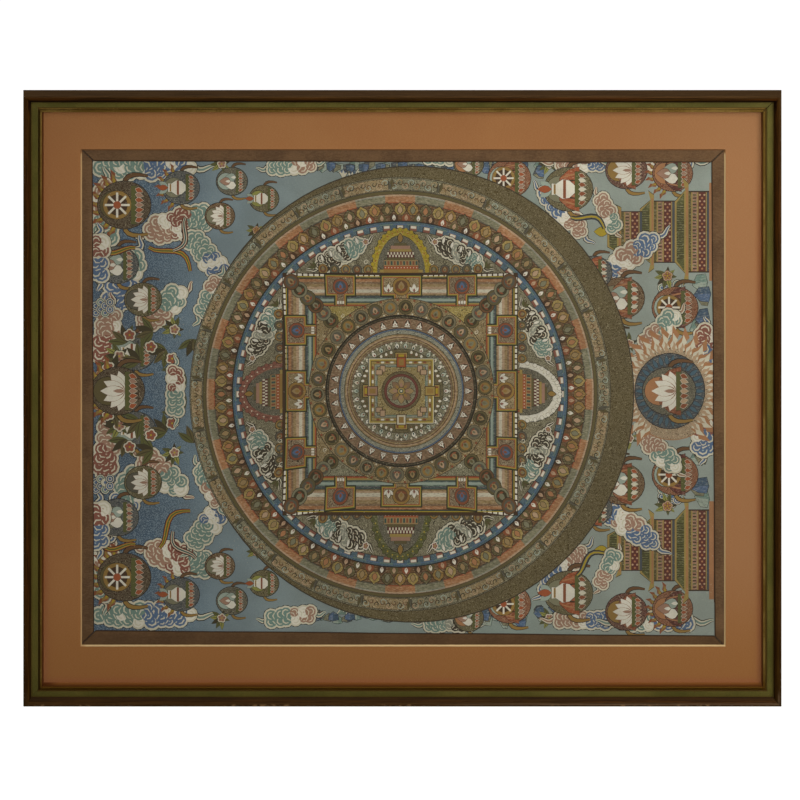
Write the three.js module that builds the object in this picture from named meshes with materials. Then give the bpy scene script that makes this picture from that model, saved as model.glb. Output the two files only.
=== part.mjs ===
// Thangka, a mandala painted on cloth, mounted in a mitred wooden picture frame.
// Units are millimetres. X runs along the picture, Z is up and the painted side faces -Y.
// The origin is the middle of the frame's bounding box.
import * as THREE from 'three';

// Driving dimensions
const FRAME_WIDTH = 963;
const FRAME_HEIGHT = 798;
const FRAME_DEPTH = 36;
const CLEARANCE = 0.3;

// Depths of the layers, measured forward from the back of the frame
const BOARD_BACK = 1.5;
const BOARD_THICKNESS = 3;
const CLOTH_BACK = 5.2;
const CLOTH_THICKNESS = 1.2;
const CLOTH_RIPPLE = 0.25;
const BORDER_BACK = 7;
const BORDER_THICKNESS = 1;
const MAT_THICKNESS = 1.8;
const MAT_BACK = BORDER_BACK + BORDER_THICKNESS + CLEARANCE;
const SLIP_BACK = MAT_BACK + MAT_THICKNESS + CLEARANCE;
const SLIP_FACE = 23;

// Widths of the mouldings, measured inward from the outer edge of the frame
const REBATE_WALL = 5;
const WOOD_WIDTH = 10;
const GREEN_END = 18.4;
const GROOVE_END = 20.6;
const GROOVE_DEPTH = 2;
const LIP_END = 23.8;
const LIP_RISE = 1.2;
const SLIP_WIDTH = 25.9;

// The slip's mitre at the top right has opened by this much
const OPEN_MITRE = 0.7;

// The mat's window at the front of its bevel
const WINDOW = { left: -408.7, right: 410.3, bottom: -326.1, top: 323.8 };

// The painting is a little out of square: these are the corners of what shows inside the borders
const PAINTING_CORNERS = {
  topLeft: [-393.6, 309.5],
  topRight: [393.8, 307.8],
  bottomRight: [398, -314.8],
  bottomLeft: [-391.9, -307.9],
};
const PAINTING_MARGIN = 7;
const BORDER_WIDTH = 24;
const SEAM_WOBBLE = 0.3;

const WOOD = { color: 0x33210c, roughness: 0.5, metalness: 0 };
const SLIP = { color: 0x4a431c, roughness: 0.6, metalness: 0.1 };
const MAT = { color: 0x905f37, roughness: 0.9, metalness: 0 };
const BORDER_CLOTH = { color: 0x593f2a, roughness: 0.9, metalness: 0 };
const PAINTED_CLOTH = { color: 0x5f6356, roughness: 0.85, metalness: 0 };
const BOARD = { color: 0x6b4c30, roughness: 0.85, metalness: 0 };

// Y of a layer that lies a given distance forward of the back of the frame
function depthToY(forward) {
  return FRAME_DEPTH / 2 - forward;
}

function makeMesh(name, geometry, look) {
  const mesh = new THREE.Mesh(geometry, new THREE.MeshStandardMaterial(look));
  mesh.name = name;
  return mesh;
}

// Applies a function to every point of a geometry, which returns the point's new [x, y, z]
function movePoints(geometry, move) {
  const points = geometry.attributes.position;
  for (let i = 0; i < points.count; i += 1) {
    points.setXYZ(i, ...move(points.getX(i), points.getY(i), points.getZ(i)));
  }
  geometry.computeVertexNormals();
  return geometry;
}

// Section of the dark wood moulding: x is inward, y is forward. A rounded rim falls gently inward,
// then steeply down to the slip, and the rebate is cut out behind.
function woodSection() {
  const rimRound = 2.6;
  const backArris = 0.8;
  const noseHeight = 2.4;
  const shoulder = { x: WOOD_WIDTH - 3, y: FRAME_DEPTH - 2 };
  const lipUnderside = SLIP_FACE + CLEARANCE;
  const section = new THREE.Shape();
  section.moveTo(REBATE_WALL, 0);
  section.lineTo(REBATE_WALL, lipUnderside);
  section.lineTo(WOOD_WIDTH, lipUnderside);
  section.lineTo(WOOD_WIDTH, lipUnderside + noseHeight);
  section.quadraticCurveTo(WOOD_WIDTH - 1, shoulder.y - 2, shoulder.x, shoulder.y);
  section.quadraticCurveTo(rimRound * 2, FRAME_DEPTH, rimRound, FRAME_DEPTH);
  section.quadraticCurveTo(0, FRAME_DEPTH, 0, FRAME_DEPTH - rimRound);
  section.lineTo(0, backArris);
  section.lineTo(backArris, 0);
  section.closePath();
  return section;
}

// Section of the slip: green band, groove, rounded lip and a wall that leans in over the mat
function slipSection() {
  const outerEdge = REBATE_WALL + CLEARANCE;
  const edgeRound = 0.6;
  const grooveDraft = 0.3;
  const lipTop = SLIP_FACE + LIP_RISE;
  const grooveFloor = SLIP_FACE - GROOVE_DEPTH;
  const section = new THREE.Shape();
  section.moveTo(outerEdge, SLIP_BACK);
  section.lineTo(SLIP_WIDTH, SLIP_BACK);
  section.lineTo(LIP_END, SLIP_FACE - edgeRound);
  section.quadraticCurveTo(LIP_END, lipTop, (GROOVE_END + LIP_END) / 2, lipTop);
  section.quadraticCurveTo(GROOVE_END, lipTop, GROOVE_END, SLIP_FACE - edgeRound);
  section.lineTo(GROOVE_END - grooveDraft, grooveFloor);
  section.lineTo(GREEN_END + grooveDraft, grooveFloor);
  section.lineTo(GREEN_END, SLIP_FACE - edgeRound);
  section.quadraticCurveTo(GREEN_END, SLIP_FACE, GREEN_END - edgeRound, SLIP_FACE);
  section.lineTo(outerEdge, SLIP_FACE);
  section.closePath();
  return section;
}

// One length of moulding along the top of a rectangle, its ends mitred at 45 degrees.
// The right end can be cut back a little more, where a mitre has opened.
function mitredLength(section, length, height, openEnd) {
  const trim = CLEARANCE / Math.SQRT2;
  const options = { depth: 1, steps: 1, bevelEnabled: false, curveSegments: 6 };
  return movePoints(new THREE.ExtrudeGeometry(section, options), (inward, forward, end) => {
    const reach = length / 2 - inward - trim;
    return [end > 0.5 ? -reach : reach - openEnd, depthToY(forward), height / 2 - inward];
  });
}

// The four mitred lengths of one moulding, each turned about Y to its own side
function mouldingSet(prefix, section, look, openCorner) {
  const sides = [
    { name: 'top', turn: 0, length: FRAME_WIDTH, height: FRAME_HEIGHT, openEnd: openCorner },
    { name: 'right', turn: Math.PI / 2, length: FRAME_HEIGHT, height: FRAME_WIDTH, openEnd: 0 },
    { name: 'bottom', turn: Math.PI, length: FRAME_WIDTH, height: FRAME_HEIGHT, openEnd: 0 },
    { name: 'left', turn: -Math.PI / 2, length: FRAME_HEIGHT, height: FRAME_WIDTH, openEnd: 0 },
  ];
  const set = new THREE.Group();
  for (const side of sides) {
    const geometry = mitredLength(section, side.length, side.height, side.openEnd);
    const moulding = makeMesh(`${prefix}_${side.name}`, geometry, look);
    moulding.rotation.y = side.turn;
    set.add(moulding);
  }
  return set;
}

// The mat board: its outer edge lies in the rebate, its window is bevelled outward to the front
function matBoard() {
  const inset = REBATE_WALL + CLEARANCE;
  const halfWidth = FRAME_WIDTH / 2 - inset;
  const halfHeight = FRAME_HEIGHT / 2 - inset;
  const board = new THREE.Shape();
  board.moveTo(-halfWidth, -halfHeight);
  board.lineTo(halfWidth, -halfHeight);
  board.lineTo(halfWidth, halfHeight);
  board.lineTo(-halfWidth, halfHeight);
  board.closePath();
  const hole = new THREE.Path();
  hole.moveTo(WINDOW.left, WINDOW.bottom);
  hole.lineTo(WINDOW.left, WINDOW.top);
  hole.lineTo(WINDOW.right, WINDOW.top);
  hole.lineTo(WINDOW.right, WINDOW.bottom);
  hole.closePath();
  board.holes.push(hole);
  const options = { depth: MAT_THICKNESS, steps: 1, bevelEnabled: false };
  return movePoints(new THREE.ExtrudeGeometry(board, options), (x, z, rise) => {
    const onWindow = Math.abs(x) < halfWidth - 1 && Math.abs(z) < halfHeight - 1;
    const narrowing = onWindow ? MAT_THICKNESS - rise : 0;
    return [x - Math.sign(x) * narrowing, depthToY(MAT_BACK + rise), z - Math.sign(z) * narrowing];
  });
}

// A point of the painting's plane: across and up run from 0 to 1, out pushes its edges outward
function paintingPoint(across, up, out) {
  const { topLeft, topRight, bottomRight, bottomLeft } = PAINTING_CORNERS;
  const mix = THREE.MathUtils.lerp;
  const x = mix(mix(bottomLeft[0], bottomRight[0], across), mix(topLeft[0], topRight[0], across), up);
  const z = mix(mix(bottomLeft[1], bottomRight[1], across), mix(topLeft[1], topRight[1], across), up);
  return [x + (across - 0.5) * 2 * out, z + (up - 0.5) * 2 * out];
}

// The painted sheet, with the shallow ripples of cloth that is held only at its edges
function paintedCloth() {
  const sheet = new THREE.BoxGeometry(1, 1, 1, 28, 1, 22);
  return movePoints(sheet, (x, back, z) => {
    const across = x + 0.5;
    const up = z + 0.5;
    const ripple = Math.sin(across * 11 + 0.8) * Math.sin(up * 8 + 0.4) * CLOTH_RIPPLE;
    const forward = CLOTH_BACK + ripple + (0.5 - back) * CLOTH_THICKNESS;
    const [px, pz] = paintingPoint(across, up, PAINTING_MARGIN);
    return [px, depthToY(forward), pz];
  });
}

// One border strip along an edge of the painting. Its outer edge is longer than its sewn one, so
// its ends are mitred, and the sewn edge wanders slightly, as a hand seam does.
function borderStrip(edgePoint) {
  const steps = 24;
  const trim = CLEARANCE / Math.SQRT2;
  const start = edgePoint(0, 0);
  const finish = edgePoint(1, 0);
  const span = Math.hypot(finish[0] - start[0], finish[1] - start[1]);
  const ahead = [(finish[0] - start[0]) / span, (finish[1] - start[1]) / span];
  return movePoints(new THREE.BoxGeometry(1, 1, 1, steps, 1, 1), (x, back, z) => {
    const t = x + 0.5;
    const wobble = Math.sin(t * 19 + span) * Math.sin(t * Math.PI) * SEAM_WOBBLE;
    const out = z > 0 ? BORDER_WIDTH : wobble;
    const [px, pz] = edgePoint(t, out);
    const shift = trim * (1 - 2 * t);
    const y = depthToY(BORDER_BACK + (0.5 - back) * BORDER_THICKNESS);
    return [px + ahead[0] * shift, y, pz + ahead[1] * shift];
  });
}

function borders() {
  const edges = {
    border_top: (t, out) => paintingPoint(t, 1, out),
    border_right: (t, out) => paintingPoint(1, 1 - t, out),
    border_bottom: (t, out) => paintingPoint(1 - t, 0, out),
    border_left: (t, out) => paintingPoint(0, t, out),
  };
  const set = new THREE.Group();
  for (const [name, edgePoint] of Object.entries(edges)) {
    set.add(makeMesh(name, borderStrip(edgePoint), BORDER_CLOTH));
  }
  return set;
}

function backingBoard() {
  const inset = REBATE_WALL + CLEARANCE;
  const board = new THREE.BoxGeometry(FRAME_WIDTH - 2 * inset, BOARD_THICKNESS, FRAME_HEIGHT - 2 * inset);
  board.translate(0, depthToY(BOARD_BACK + BOARD_THICKNESS / 2), 0);
  return board;
}

const picture = new THREE.Group();
picture.add(mouldingSet('frame', woodSection(), WOOD, 0));
picture.add(mouldingSet('slip', slipSection(), SLIP, OPEN_MITRE));
picture.add(makeMesh('mat_board', matBoard(), MAT));
picture.add(borders());
picture.add(makeMesh('thangka_cloth', paintedCloth(), PAINTED_CLOTH));
picture.add(makeMesh('backing_board', backingBoard(), BOARD));

export default picture;
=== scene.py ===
import bpy
from math import atan2, cos, hypot, pi, radians, sin, sqrt
from random import Random
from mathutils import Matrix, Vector
from mathutils.geometry import delaunay_2d_cdt


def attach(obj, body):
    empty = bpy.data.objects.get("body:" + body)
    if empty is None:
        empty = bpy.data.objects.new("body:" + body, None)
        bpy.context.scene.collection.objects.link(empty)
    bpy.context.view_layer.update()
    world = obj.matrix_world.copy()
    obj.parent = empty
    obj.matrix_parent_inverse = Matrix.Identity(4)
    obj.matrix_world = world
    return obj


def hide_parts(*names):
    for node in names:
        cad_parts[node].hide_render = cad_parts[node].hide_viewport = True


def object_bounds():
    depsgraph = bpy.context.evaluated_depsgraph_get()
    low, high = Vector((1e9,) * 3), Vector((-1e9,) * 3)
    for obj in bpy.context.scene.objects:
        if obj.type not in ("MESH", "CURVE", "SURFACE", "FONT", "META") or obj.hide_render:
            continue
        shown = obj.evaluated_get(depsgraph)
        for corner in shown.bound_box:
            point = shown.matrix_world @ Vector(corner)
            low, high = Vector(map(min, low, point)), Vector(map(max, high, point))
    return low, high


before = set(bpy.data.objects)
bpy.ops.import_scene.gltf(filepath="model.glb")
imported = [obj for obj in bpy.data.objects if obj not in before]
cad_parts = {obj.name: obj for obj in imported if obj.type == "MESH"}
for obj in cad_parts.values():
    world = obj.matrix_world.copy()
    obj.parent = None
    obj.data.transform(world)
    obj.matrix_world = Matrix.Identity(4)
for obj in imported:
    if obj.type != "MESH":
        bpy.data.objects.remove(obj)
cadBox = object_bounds()
mm = 0.001
print("frame loaded")

# Camera: square on, from a little above, with no perspective, as in the photo
view = {"elevation": 13.7, "pictureSide": 1.016, "across": -3.05 * mm, "up": -2.1 * mm, "distance": 3}


def addCamera():
    lens = bpy.data.cameras.new("camera")
    lens.type = "ORTHO"
    lens.ortho_scale = view["pictureSide"]
    camera = bpy.data.objects.new("camera", lens)
    bpy.context.collection.objects.link(camera)
    tilt = radians(view["elevation"])
    camera.location = (view["across"], -view["distance"] * cos(tilt),
                       view["up"] + view["distance"] * sin(tilt))
    camera.rotation_euler = (pi / 2 - tilt, 0, 0)
    bpy.context.scene.camera = camera


addCamera()

# Studio: a white sweep and soft sky light, with a big soft lamp on the right, one overhead,
# a weak fill on the left and one behind
studio = {"floor": -0.62, "wall": 5, "width": 14, "front": -5, "height": 6, "curve": 1.2, "bends": 16,
          "white": (1, 1, 1, 1), "paper": (0.35, 0.35, 0.35, 1), "paperRoughness": 0.9, "sky": 0.126,
          "key": {"place": (0.72, -1.4, 0.66), "size": 1.3, "power": 27.6},
          "overhead": {"place": (0.1, -0.25, 1.85), "size": 1.2, "power": 12.6},
          "fill": {"place": (-2.2, -2.4, 0.4), "size": 2.5, "power": 4},
          "back": {"place": (-0.7, 2.4, -0.1), "size": 2, "power": 16}}


def addLamp(name, lamp):
    light = bpy.data.lights.new(name, "AREA")
    light.size = lamp["size"]
    light.energy = lamp["power"]
    holder = bpy.data.objects.new(name, light)
    holder.location = lamp["place"]
    holder.rotation_euler = (-Vector(lamp["place"])).to_track_quat("-Z", "Y").to_euler()
    holder.visible_camera = False
    bpy.context.collection.objects.link(holder)


def newObject(name, points, faces):
    mesh = bpy.data.meshes.new(name)
    mesh.from_pydata(points, [], faces)
    piece = bpy.data.objects.new(name, mesh)
    bpy.context.collection.objects.link(piece)
    return piece


def addStudio():
    half = studio["width"] / 2
    profile = [(studio["front"], studio["floor"])]
    for step in range(studio["bends"] + 1):
        angle = pi / 2 * step / studio["bends"]
        profile.append((studio["wall"] - studio["curve"] * (1 - sin(angle)),
                        studio["floor"] + studio["curve"] * (1 - cos(angle))))
    profile.append((studio["wall"], studio["height"]))
    points = [(side * half, y, z) for y, z in profile for side in (-1, 1)]
    sweep = newObject("white_sweep", points, [(i, i + 1, i + 3, i + 2) for i in range(0, len(points) - 2, 2)])
    sweep.data.shade_smooth()
    paper = bpy.data.materials.new("pale_paper")
    paper.use_nodes = True
    tree = paper.node_tree
    shader = tree.nodes["Principled BSDF"].inputs
    shader["Base Color"].default_value = studio["paper"]
    shader["Roughness"].default_value = studio["paperRoughness"]
    shader["Emission Color"].default_value = studio["white"]
    # the camera sees plain white, which lights nothing
    tree.links.new(tree.nodes.new("ShaderNodeLightPath").outputs["Is Camera Ray"], shader["Emission Strength"])
    sweep.data.materials.append(paper)
    world = bpy.data.worlds.new("soft_sky")
    world.use_nodes = True
    sky = world.node_tree.nodes["Background"].inputs
    sky["Color"].default_value = studio["white"]
    sky["Strength"].default_value = studio["sky"]
    bpy.context.scene.world = world
    bpy.context.scene.view_settings.view_transform = "Standard"
    for name in ("key", "overhead", "fill", "back"):
        addLamp(name + "_lamp", studio[name])


addStudio()
print("camera and studio set")


# Shader values add and multiply like numbers: each sign places a Math node
class Value:
    def __init__(self, socket):
        self.socket = socket
        self.tree = socket.id_data

    def __add__(self, other):
        return maths("ADD", self, other)

    def __sub__(self, other):
        return maths("SUBTRACT", self, other)

    def __rsub__(self, other):
        return maths("SUBTRACT", other, self)

    def __mul__(self, other):
        return maths("MULTIPLY", self, other)

    def __abs__(self):
        return maths("ABSOLUTE", self)


def feed(socket, value):
    if isinstance(value, Value):
        value.tree.links.new(value.socket, socket)
    else:
        socket.default_value = value


def placed(tree, kind, settings, inputs):
    made = tree.nodes.new(kind)
    for name, value in settings.items():
        setattr(made, name, value)
    for name, value in inputs.items():
        feed(made.inputs[name], value)
    return [Value(socket) for socket in made.outputs]


def maths(operation, first, second=0.0):
    tree = first.tree if isinstance(first, Value) else second.tree
    return placed(tree, "ShaderNodeMath", {"operation": operation}, {0: first, 1: second})[0]


def vectorMaths(operation, vector, inputs, output=0):
    return placed(vector.tree, "ShaderNodeVectorMath", {"operation": operation}, {0: vector, **inputs})[output]


def fade(value, start, end, low=0.0, high=1.0):
    return placed(value.tree, "ShaderNodeMapRange", {"interpolation_type": "SMOOTHSTEP"},
                  {"Value": value, "From Min": start, "From Max": end, "To Min": low, "To Max": high})[0]


def mixed(factor, first, second):
    return placed(factor.tree, "ShaderNodeMix", {"data_type": "RGBA"}, {0: factor, 6: first, 7: second})[2]


def noise(vector, scale, detail=2.0, roughness=0.5, distortion=0.0, output=0):
    inputs = {"Vector": vector, "Scale": scale, "Detail": detail, "Roughness": roughness,
              "Distortion": distortion}
    return placed(vector.tree, "ShaderNodeTexNoise", {}, inputs)[output]


def streaky(vector, scale, detail=2.0, roughness=0.5, distortion=0.0):
    # noise drawn out along the axis with the smallest scale
    stretched = placed(vector.tree, "ShaderNodeMapping", {}, {"Vector": vector, "Scale": scale})[0]
    return noise(stretched, 1.0, detail, roughness, distortion)


def source(tree, kind, output, **settings):
    made = tree.nodes.new(kind)
    for name, value in settings.items():
        setattr(made, name, value)
    return Value(made.outputs[output])


def axes(vector):
    return dict(zip("XYZ", placed(vector.tree, "ShaderNodeSeparateXYZ", {}, {0: vector})))


def linear(value):
    return ((value / 255 + 0.055) / 1.055) ** 2.4


def colour(red, green, blue):
    return (linear(red), linear(green), linear(blue), 1)


def newGroup(name, settings, results):
    group = bpy.data.node_groups.new(name, "ShaderNodeTree")
    group.interface.new_socket("Vector", in_out="INPUT", socket_type="NodeSocketVector")
    for label, value in settings.items():
        socket = group.interface.new_socket(label, in_out="INPUT", socket_type="NodeSocketFloat")
        socket.default_value = value
    for label in results:
        group.interface.new_socket(label, in_out="OUTPUT", socket_type="NodeSocketFloat")
    given = group.nodes.new("NodeGroupInput").outputs
    vector, *others = [Value(given[label]) for label in ("Vector", *settings)]
    return group, group.nodes.new("NodeGroupOutput").inputs, vector, *others


def weaveGroup():
    # plain weave: threads over and under, a little uneven
    group, gives, vector, threads = newGroup("plain_weave", {"Threads": 900}, ("Height", "Shade"))
    drift = vectorMaths("SCALE", noise(vector, 60.0, output=1), {"Scale": 0.0016})
    parts = axes(vectorMaths("ADD", vector, {1: drift}))
    turns = threads * pi
    over = maths("SINE", parts["X"] * turns) * maths("SINE", parts["Z"] * turns)
    feed(gives["Height"], fade(over, -1.0, 1.0))
    feed(gives["Shade"], over * 0.25 + streaky(vector, (240.0, 240.0, 1500.0), 3.0))
    return group


def mottleGroup():
    # broad and fine unevenness of a surface, around one half
    group, gives, vector, broad, fine = newGroup("mottle", {"Broad": 6, "Fine": 300}, ("Value", "Speck"))
    speck = noise(vector, fine, 3.0, 0.6)
    feed(gives["Value"], noise(vector, broad, 4.0, 0.55) * 0.7 + speck * 0.3)
    feed(gives["Speck"], speck)
    return group


def grainGroup():
    # open-pored wood: long streaks, short dark pores and a broad figure. Grain runs along the vector's X
    group, gives, vector = newGroup("wood_grain", {}, ("Streaks", "Pores", "Figure"))
    feed(gives["Streaks"], streaky(vector, (14.0, 300.0, 900.0), 4.0, 0.65))
    feed(gives["Pores"], fade(streaky(vector, (70.0, 900.0, 1900.0)), 0.56, 0.72))
    feed(gives["Figure"], streaky(vector, (3.0, 26.0, 60.0), 4.0, 0.6, 0.8))
    return group


def wearGroup():
    # knocks and rubbed places: small islands, more of them where Amount is higher
    group, gives, vector, size, amount = newGroup("knocks", {"Size": 120, "Amount": 0.3}, ("Mask",))
    islands = noise(vector, size, 3.0, 0.6, 0.3)
    feed(gives["Mask"], fade(islands - (0.86 - amount * noise(vector, 9.0)), 0.0, 0.05))
    return group


effects = {"weave": weaveGroup(), "mottle": mottleGroup(), "grain": grainGroup(), "wear": wearGroup()}


def effect(name, vector, **inputs):
    made = vector.tree.nodes.new("ShaderNodeGroup")
    made.node_tree = effects[name]
    feed(made.inputs["Vector"], vector)
    for label, value in inputs.items():
        feed(made.inputs[label], value)
    return [Value(socket) for socket in made.outputs]


def newMaterial(name, shine, sheen=0.0):
    material = bpy.data.materials.new(name)
    material.use_nodes = True
    shader = material.node_tree.nodes["Principled BSDF"].inputs
    shader["Specular IOR Level"].default_value = shine
    shader["Sheen Weight"].default_value = sheen
    return material, shader, source(material.node_tree, "ShaderNodeTexCoord", "Object")


def surface(shader, body, roughness, relief, depth):
    bumps = placed(body.tree, "ShaderNodeBump", {}, {"Height": relief, "Distance": depth, "Strength": 1.0})[0]
    for name, value in (("Base Color", body), ("Roughness", roughness), ("Normal", bumps)):
        feed(shader[name], value)


def inFromEdge(vector, left, right, bottom, top):
    # how far a point lies inside a rectangle, in metres
    parts = axes(vector)
    across = (right - left) / 2 - abs(parts["X"] - (right + left) / 2)
    return maths("MINIMUM", across, (top - bottom) / 2 - abs(parts["Z"] - (top + bottom) / 2))


# Dark stained wood of the outer moulding. Widths are inward from the frame's outer edge
halfWidth, _, halfHeight = [(high - low) / 2 for low, high in zip(*cadBox)]
wood = {"stain": colour(58, 38, 8), "deep": colour(38, 22, 4), "red": colour(66, 34, 6),
        "bare": colour(128, 98, 62), "rim": colour(72, 51, 27), "dust": colour(108, 88, 66),
        "poresAndWallShade": colour(22, 10, 5), "back": colour(92, 66, 42), "wall": 6.9 * mm}


def inFromFrameEdge(vector):
    return inFromEdge(vector, -halfWidth, halfWidth, -halfHeight, halfHeight)


def woodMaterial(name, upright):
    material, shader, vector = newMaterial(name, shine=0.02)
    parts = axes(vector)
    turned = {"X": parts["Z"], "Y": parts["Y"], "Z": parts["X"]} if upright else parts
    alongGrain = placed(vector.tree, "ShaderNodeCombineXYZ", {}, turned)[0]
    streaks, pores, figure = effect("grain", alongGrain)
    body = mixed(fade(figure, 0.35, 0.68), wood["stain"], wood["red"])
    body = mixed(fade(streaks, 0.38, 0.62), body, wood["deep"])
    body = mixed(pores * 0.6, body, wood["poresAndWallShade"])
    inward = inFromFrameEdge(vector)
    # painted shade darkens the inner wall, most along the top where it faces down; lighter brown along the outer arris
    # and across the bottom rail's front
    high = fade(parts["Z"], halfHeight - 30 * mm, halfHeight - 12 * mm)
    wall = fade(inward + high * (2 * mm), wood["wall"], wood["wall"] + 2 * mm)
    body = mixed(wall * (high * 0.6 + 0.3), body, wood["poresAndWallShade"])
    bottom = fade(parts["Z"], 24 * mm - halfHeight, 10 * mm - halfHeight)
    paler = maths("MAXIMUM", fade(inward, 3.2 * mm, 0.4 * mm), bottom * fade(inward, 9 * mm, 2 * mm))
    body = mixed(paler * fade(streaks, 0.66, 0.4, 0.3, 0.75), body, wood["rim"])
    # rubbed along the rim, knocked more along the bottom rail
    rim = fade(abs(inward - 1.2 * mm), 3.2 * mm, 0.3 * mm)
    low = fade(parts["Z"], -halfHeight + 20 * mm, -halfHeight + 4 * mm, 0.25, 0.5)
    knocks = effect("wear", vector, Size=150.0, Amount=low)[0]
    scratches = fade(streaky(alongGrain, (30.0, 600.0, 2400.0)), 0.66, 0.74)
    worn = maths("MAXIMUM", knocks, scratches * 0.35) * rim
    body = mixed(worn, body, wood["bare"])
    # dusty along the right half of the bottom rail's crest
    crest = fade(abs(inward - 3.4 * mm), 1.7 * mm, 0.3 * mm) * bottom
    crest = crest * fade(parts["X"], 0.02, 0.16, 0.0, 0.55)
    body = mixed(crest * fade(streaks, 0.62, 0.4, 0.3, 1.0), body, wood["dust"])
    # painted light: the outer top face, which faces up, is painted a little paler and made rougher, and the back is
    # less stained
    facing = axes(source(vector.tree, "ShaderNodeNewGeometry", "Normal"))
    above = fade(facing["Z"], 0.7, 0.95)
    body = mixed(above * 0.1, body, wood["dust"])
    body = mixed(fade(facing["Y"], 0.6, 0.9) * 0.7, body, wood["back"])
    surface(shader, body, streaks * 0.3 + worn * 0.3 + above * 0.5 + 0.28,
            streaks * 0.5 - (pores * 0.5 + worn), 0.25 * mm)
    return material


# The slip inside it: green band, dark groove, brown-gold lip and the wall that leans in over the mat
slip = {"green": colour(94, 85, 37), "greenDeep": colour(74, 69, 27), "groove": colour(74, 54, 18),
        "lip": colour(96, 72, 26), "lipBright": colour(122, 97, 46), "lipDull": colour(84, 56, 10),
        "wall": colour(66, 34, 8), "wallFoot": colour(128, 80, 38), "leftFoot": colour(88, 46, 18),
        "shadow": 10.9 * mm, "greenEnd": 18.8 * mm, "grooveEnd": 20.2 * mm, "lipEnd": 23.4 * mm,
        "wallEnd": 25.9 * mm, "levelShift": 1.5 * mm}


def slipMaterial(name, bandShift):
    material, shader, vector = newMaterial(name, shine=0.06)
    parts = axes(vector)
    inward = inFromFrameEdge(vector)
    value, speck = effect("mottle", vector, Broad=14.0, Fine=420.0)
    greenEnd, grooveEnd, lipEnd = slip["greenEnd"] - bandShift, slip["grooveEnd"] - bandShift, slip["lipEnd"]
    green = mixed(fade(value, 0.36, 0.64), slip["green"], slip["greenDeep"])
    green = mixed(fade(inward, slip["shadow"], slip["shadow"] + 1.2 * mm, 0.5, 0.0), green, slip["groove"])
    chips = effect("wear", vector, Size=190.0, Amount=0.28)[0]
    green = mixed(chips, green, slip["groove"])
    # the gilding is rubbed in places, and duller along the bottom
    lip = mixed(fade(value, 0.45, 0.6), slip["lip"], slip["lipBright"])
    lip = mixed(fade(parts["Z"], 40 * mm - halfHeight, 22 * mm - halfHeight), lip, slip["lipDull"])
    body = mixed(fade(inward, greenEnd - 0.3 * mm, greenEnd + 0.3 * mm), green, slip["groove"])
    body = mixed(fade(inward, grooveEnd - 0.3 * mm, grooveEnd + 0.4 * mm), body, lip)
    foot = mixed(fade(parts["X"], -0.435, -0.452), slip["wallFoot"], slip["leftFoot"])
    wall = mixed(fade(inward, lipEnd, slip["wallEnd"]), slip["wall"], foot)
    body = mixed(fade(inward, lipEnd - 0.4 * mm, lipEnd + 0.5 * mm), body, wall)
    gilt = fade(inward, grooveEnd, grooveEnd + 0.6 * mm) * fade(inward, lipEnd + 0.3 * mm, lipEnd - 0.3 * mm)
    feed(shader["Metallic"], gilt * 0.35)
    surface(shader, body, speck * 0.3 + 0.38, speck * 0.4 - chips, 0.2 * mm)
    return material


# Terracotta mat board: paper with faint fibres, and a cream core where its window is bevelled
mat = {"paper": colour(143, 93, 53), "warm": colour(141, 86, 50), "faded": colour(149, 100, 58),
       "paintedLightRight": colour(147, 101, 64), "paintedShadeLow": colour(141, 91, 46), "core": colour(196, 168, 120),
       "coreShadeLeft": colour(172, 138, 94), "coreShade": colour(118, 80, 46),
       "left": -408.7 * mm, "right": 410.3 * mm, "bottom": -326.1 * mm, "top": 323.8 * mm}


def matMaterial():
    material, shader, vector = newMaterial("terracotta_mat", shine=0.1)
    parts = axes(vector)
    inward = inFromFrameEdge(vector)
    inside = inFromEdge(vector, mat["left"], mat["right"], mat["bottom"], mat["top"])
    value = effect("mottle", vector, Broad=5.0, Fine=700.0)[0]
    paper = mixed(fade(value, 0.38, 0.62), mat["paper"], mat["faded"])
    # painted light makes the right side a little paler, and painted shade makes the bottom deeper
    paper = mixed(fade(parts["X"], 0.2, 0.46), paper, mat["paintedLightRight"])
    paper = mixed(fade(parts["Z"], -0.2, -0.36), paper, mat["paintedShadeLow"])
    # painted shade: darker and redder next to the slip, all round but the top
    paper = mixed(fade(inward, 36 * mm, 26 * mm) * fade(parts["Z"], 0.34, 0.2), paper, mat["warm"])
    fibres = streaky(vector, (500.0, 500.0, 1600.0), 4.0, 0.7)
    paper = mixed(fade(fibres, 0.35, 0.75, 0.0, 0.16), paper, mat["core"])
    # the bevel's core shows cream, with painted shade on the left and along the top
    core = mixed(fade(parts["X"], mat["left"] + 9 * mm, mat["left"] + 3 * mm), mat["core"], mat["coreShadeLeft"])
    core = mixed(fade(parts["Z"], mat["top"] - 8 * mm, mat["top"] - 3 * mm), core, mat["coreShade"])
    body = mixed(fade(inside, -0.15 * mm, 0.1 * mm), paper, core)
    surface(shader, body, fibres * 0.2 + 0.74, fibres, 0.12 * mm)
    return material


# Backing board: pressed fibre, brown, with a fine screen pattern
board = {"fibre": colour(134, 100, 66), "dark": colour(114, 82, 52), "screen": 420.0}


def boardMaterial():
    material, shader, vector = newMaterial("pressed_fibre_board", shine=0.3)
    value, speck = effect("mottle", vector, Broad=9.0, Fine=900.0)
    screen = effect("weave", vector, Threads=board["screen"])[0]
    body = mixed(fade(value, 0.3, 0.7), board["fibre"], board["dark"])
    surface(shader, body, speck * 0.2 + 0.72, screen + speck, 0.2 * mm)
    return material


def finishFrame():
    for ending, upright, sides in (("level", False, ("top", "bottom")), ("upright", True, ("left", "right"))):
        stained = woodMaterial("stained_wood_" + ending, upright)
        gilded = slipMaterial("green_and_gold_slip_" + ending, 0 if upright else slip["levelShift"])
        for side in sides:
            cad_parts["frame_" + side].material_slots[0].material = stained
            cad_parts["slip_" + side].material_slots[0].material = gilded
    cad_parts["mat_board"].material_slots[0].material = matMaterial()
    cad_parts["backing_board"].material_slots[0].material = boardMaterial()


finishFrame()
print("frame, slip, mat and board finished")


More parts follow.
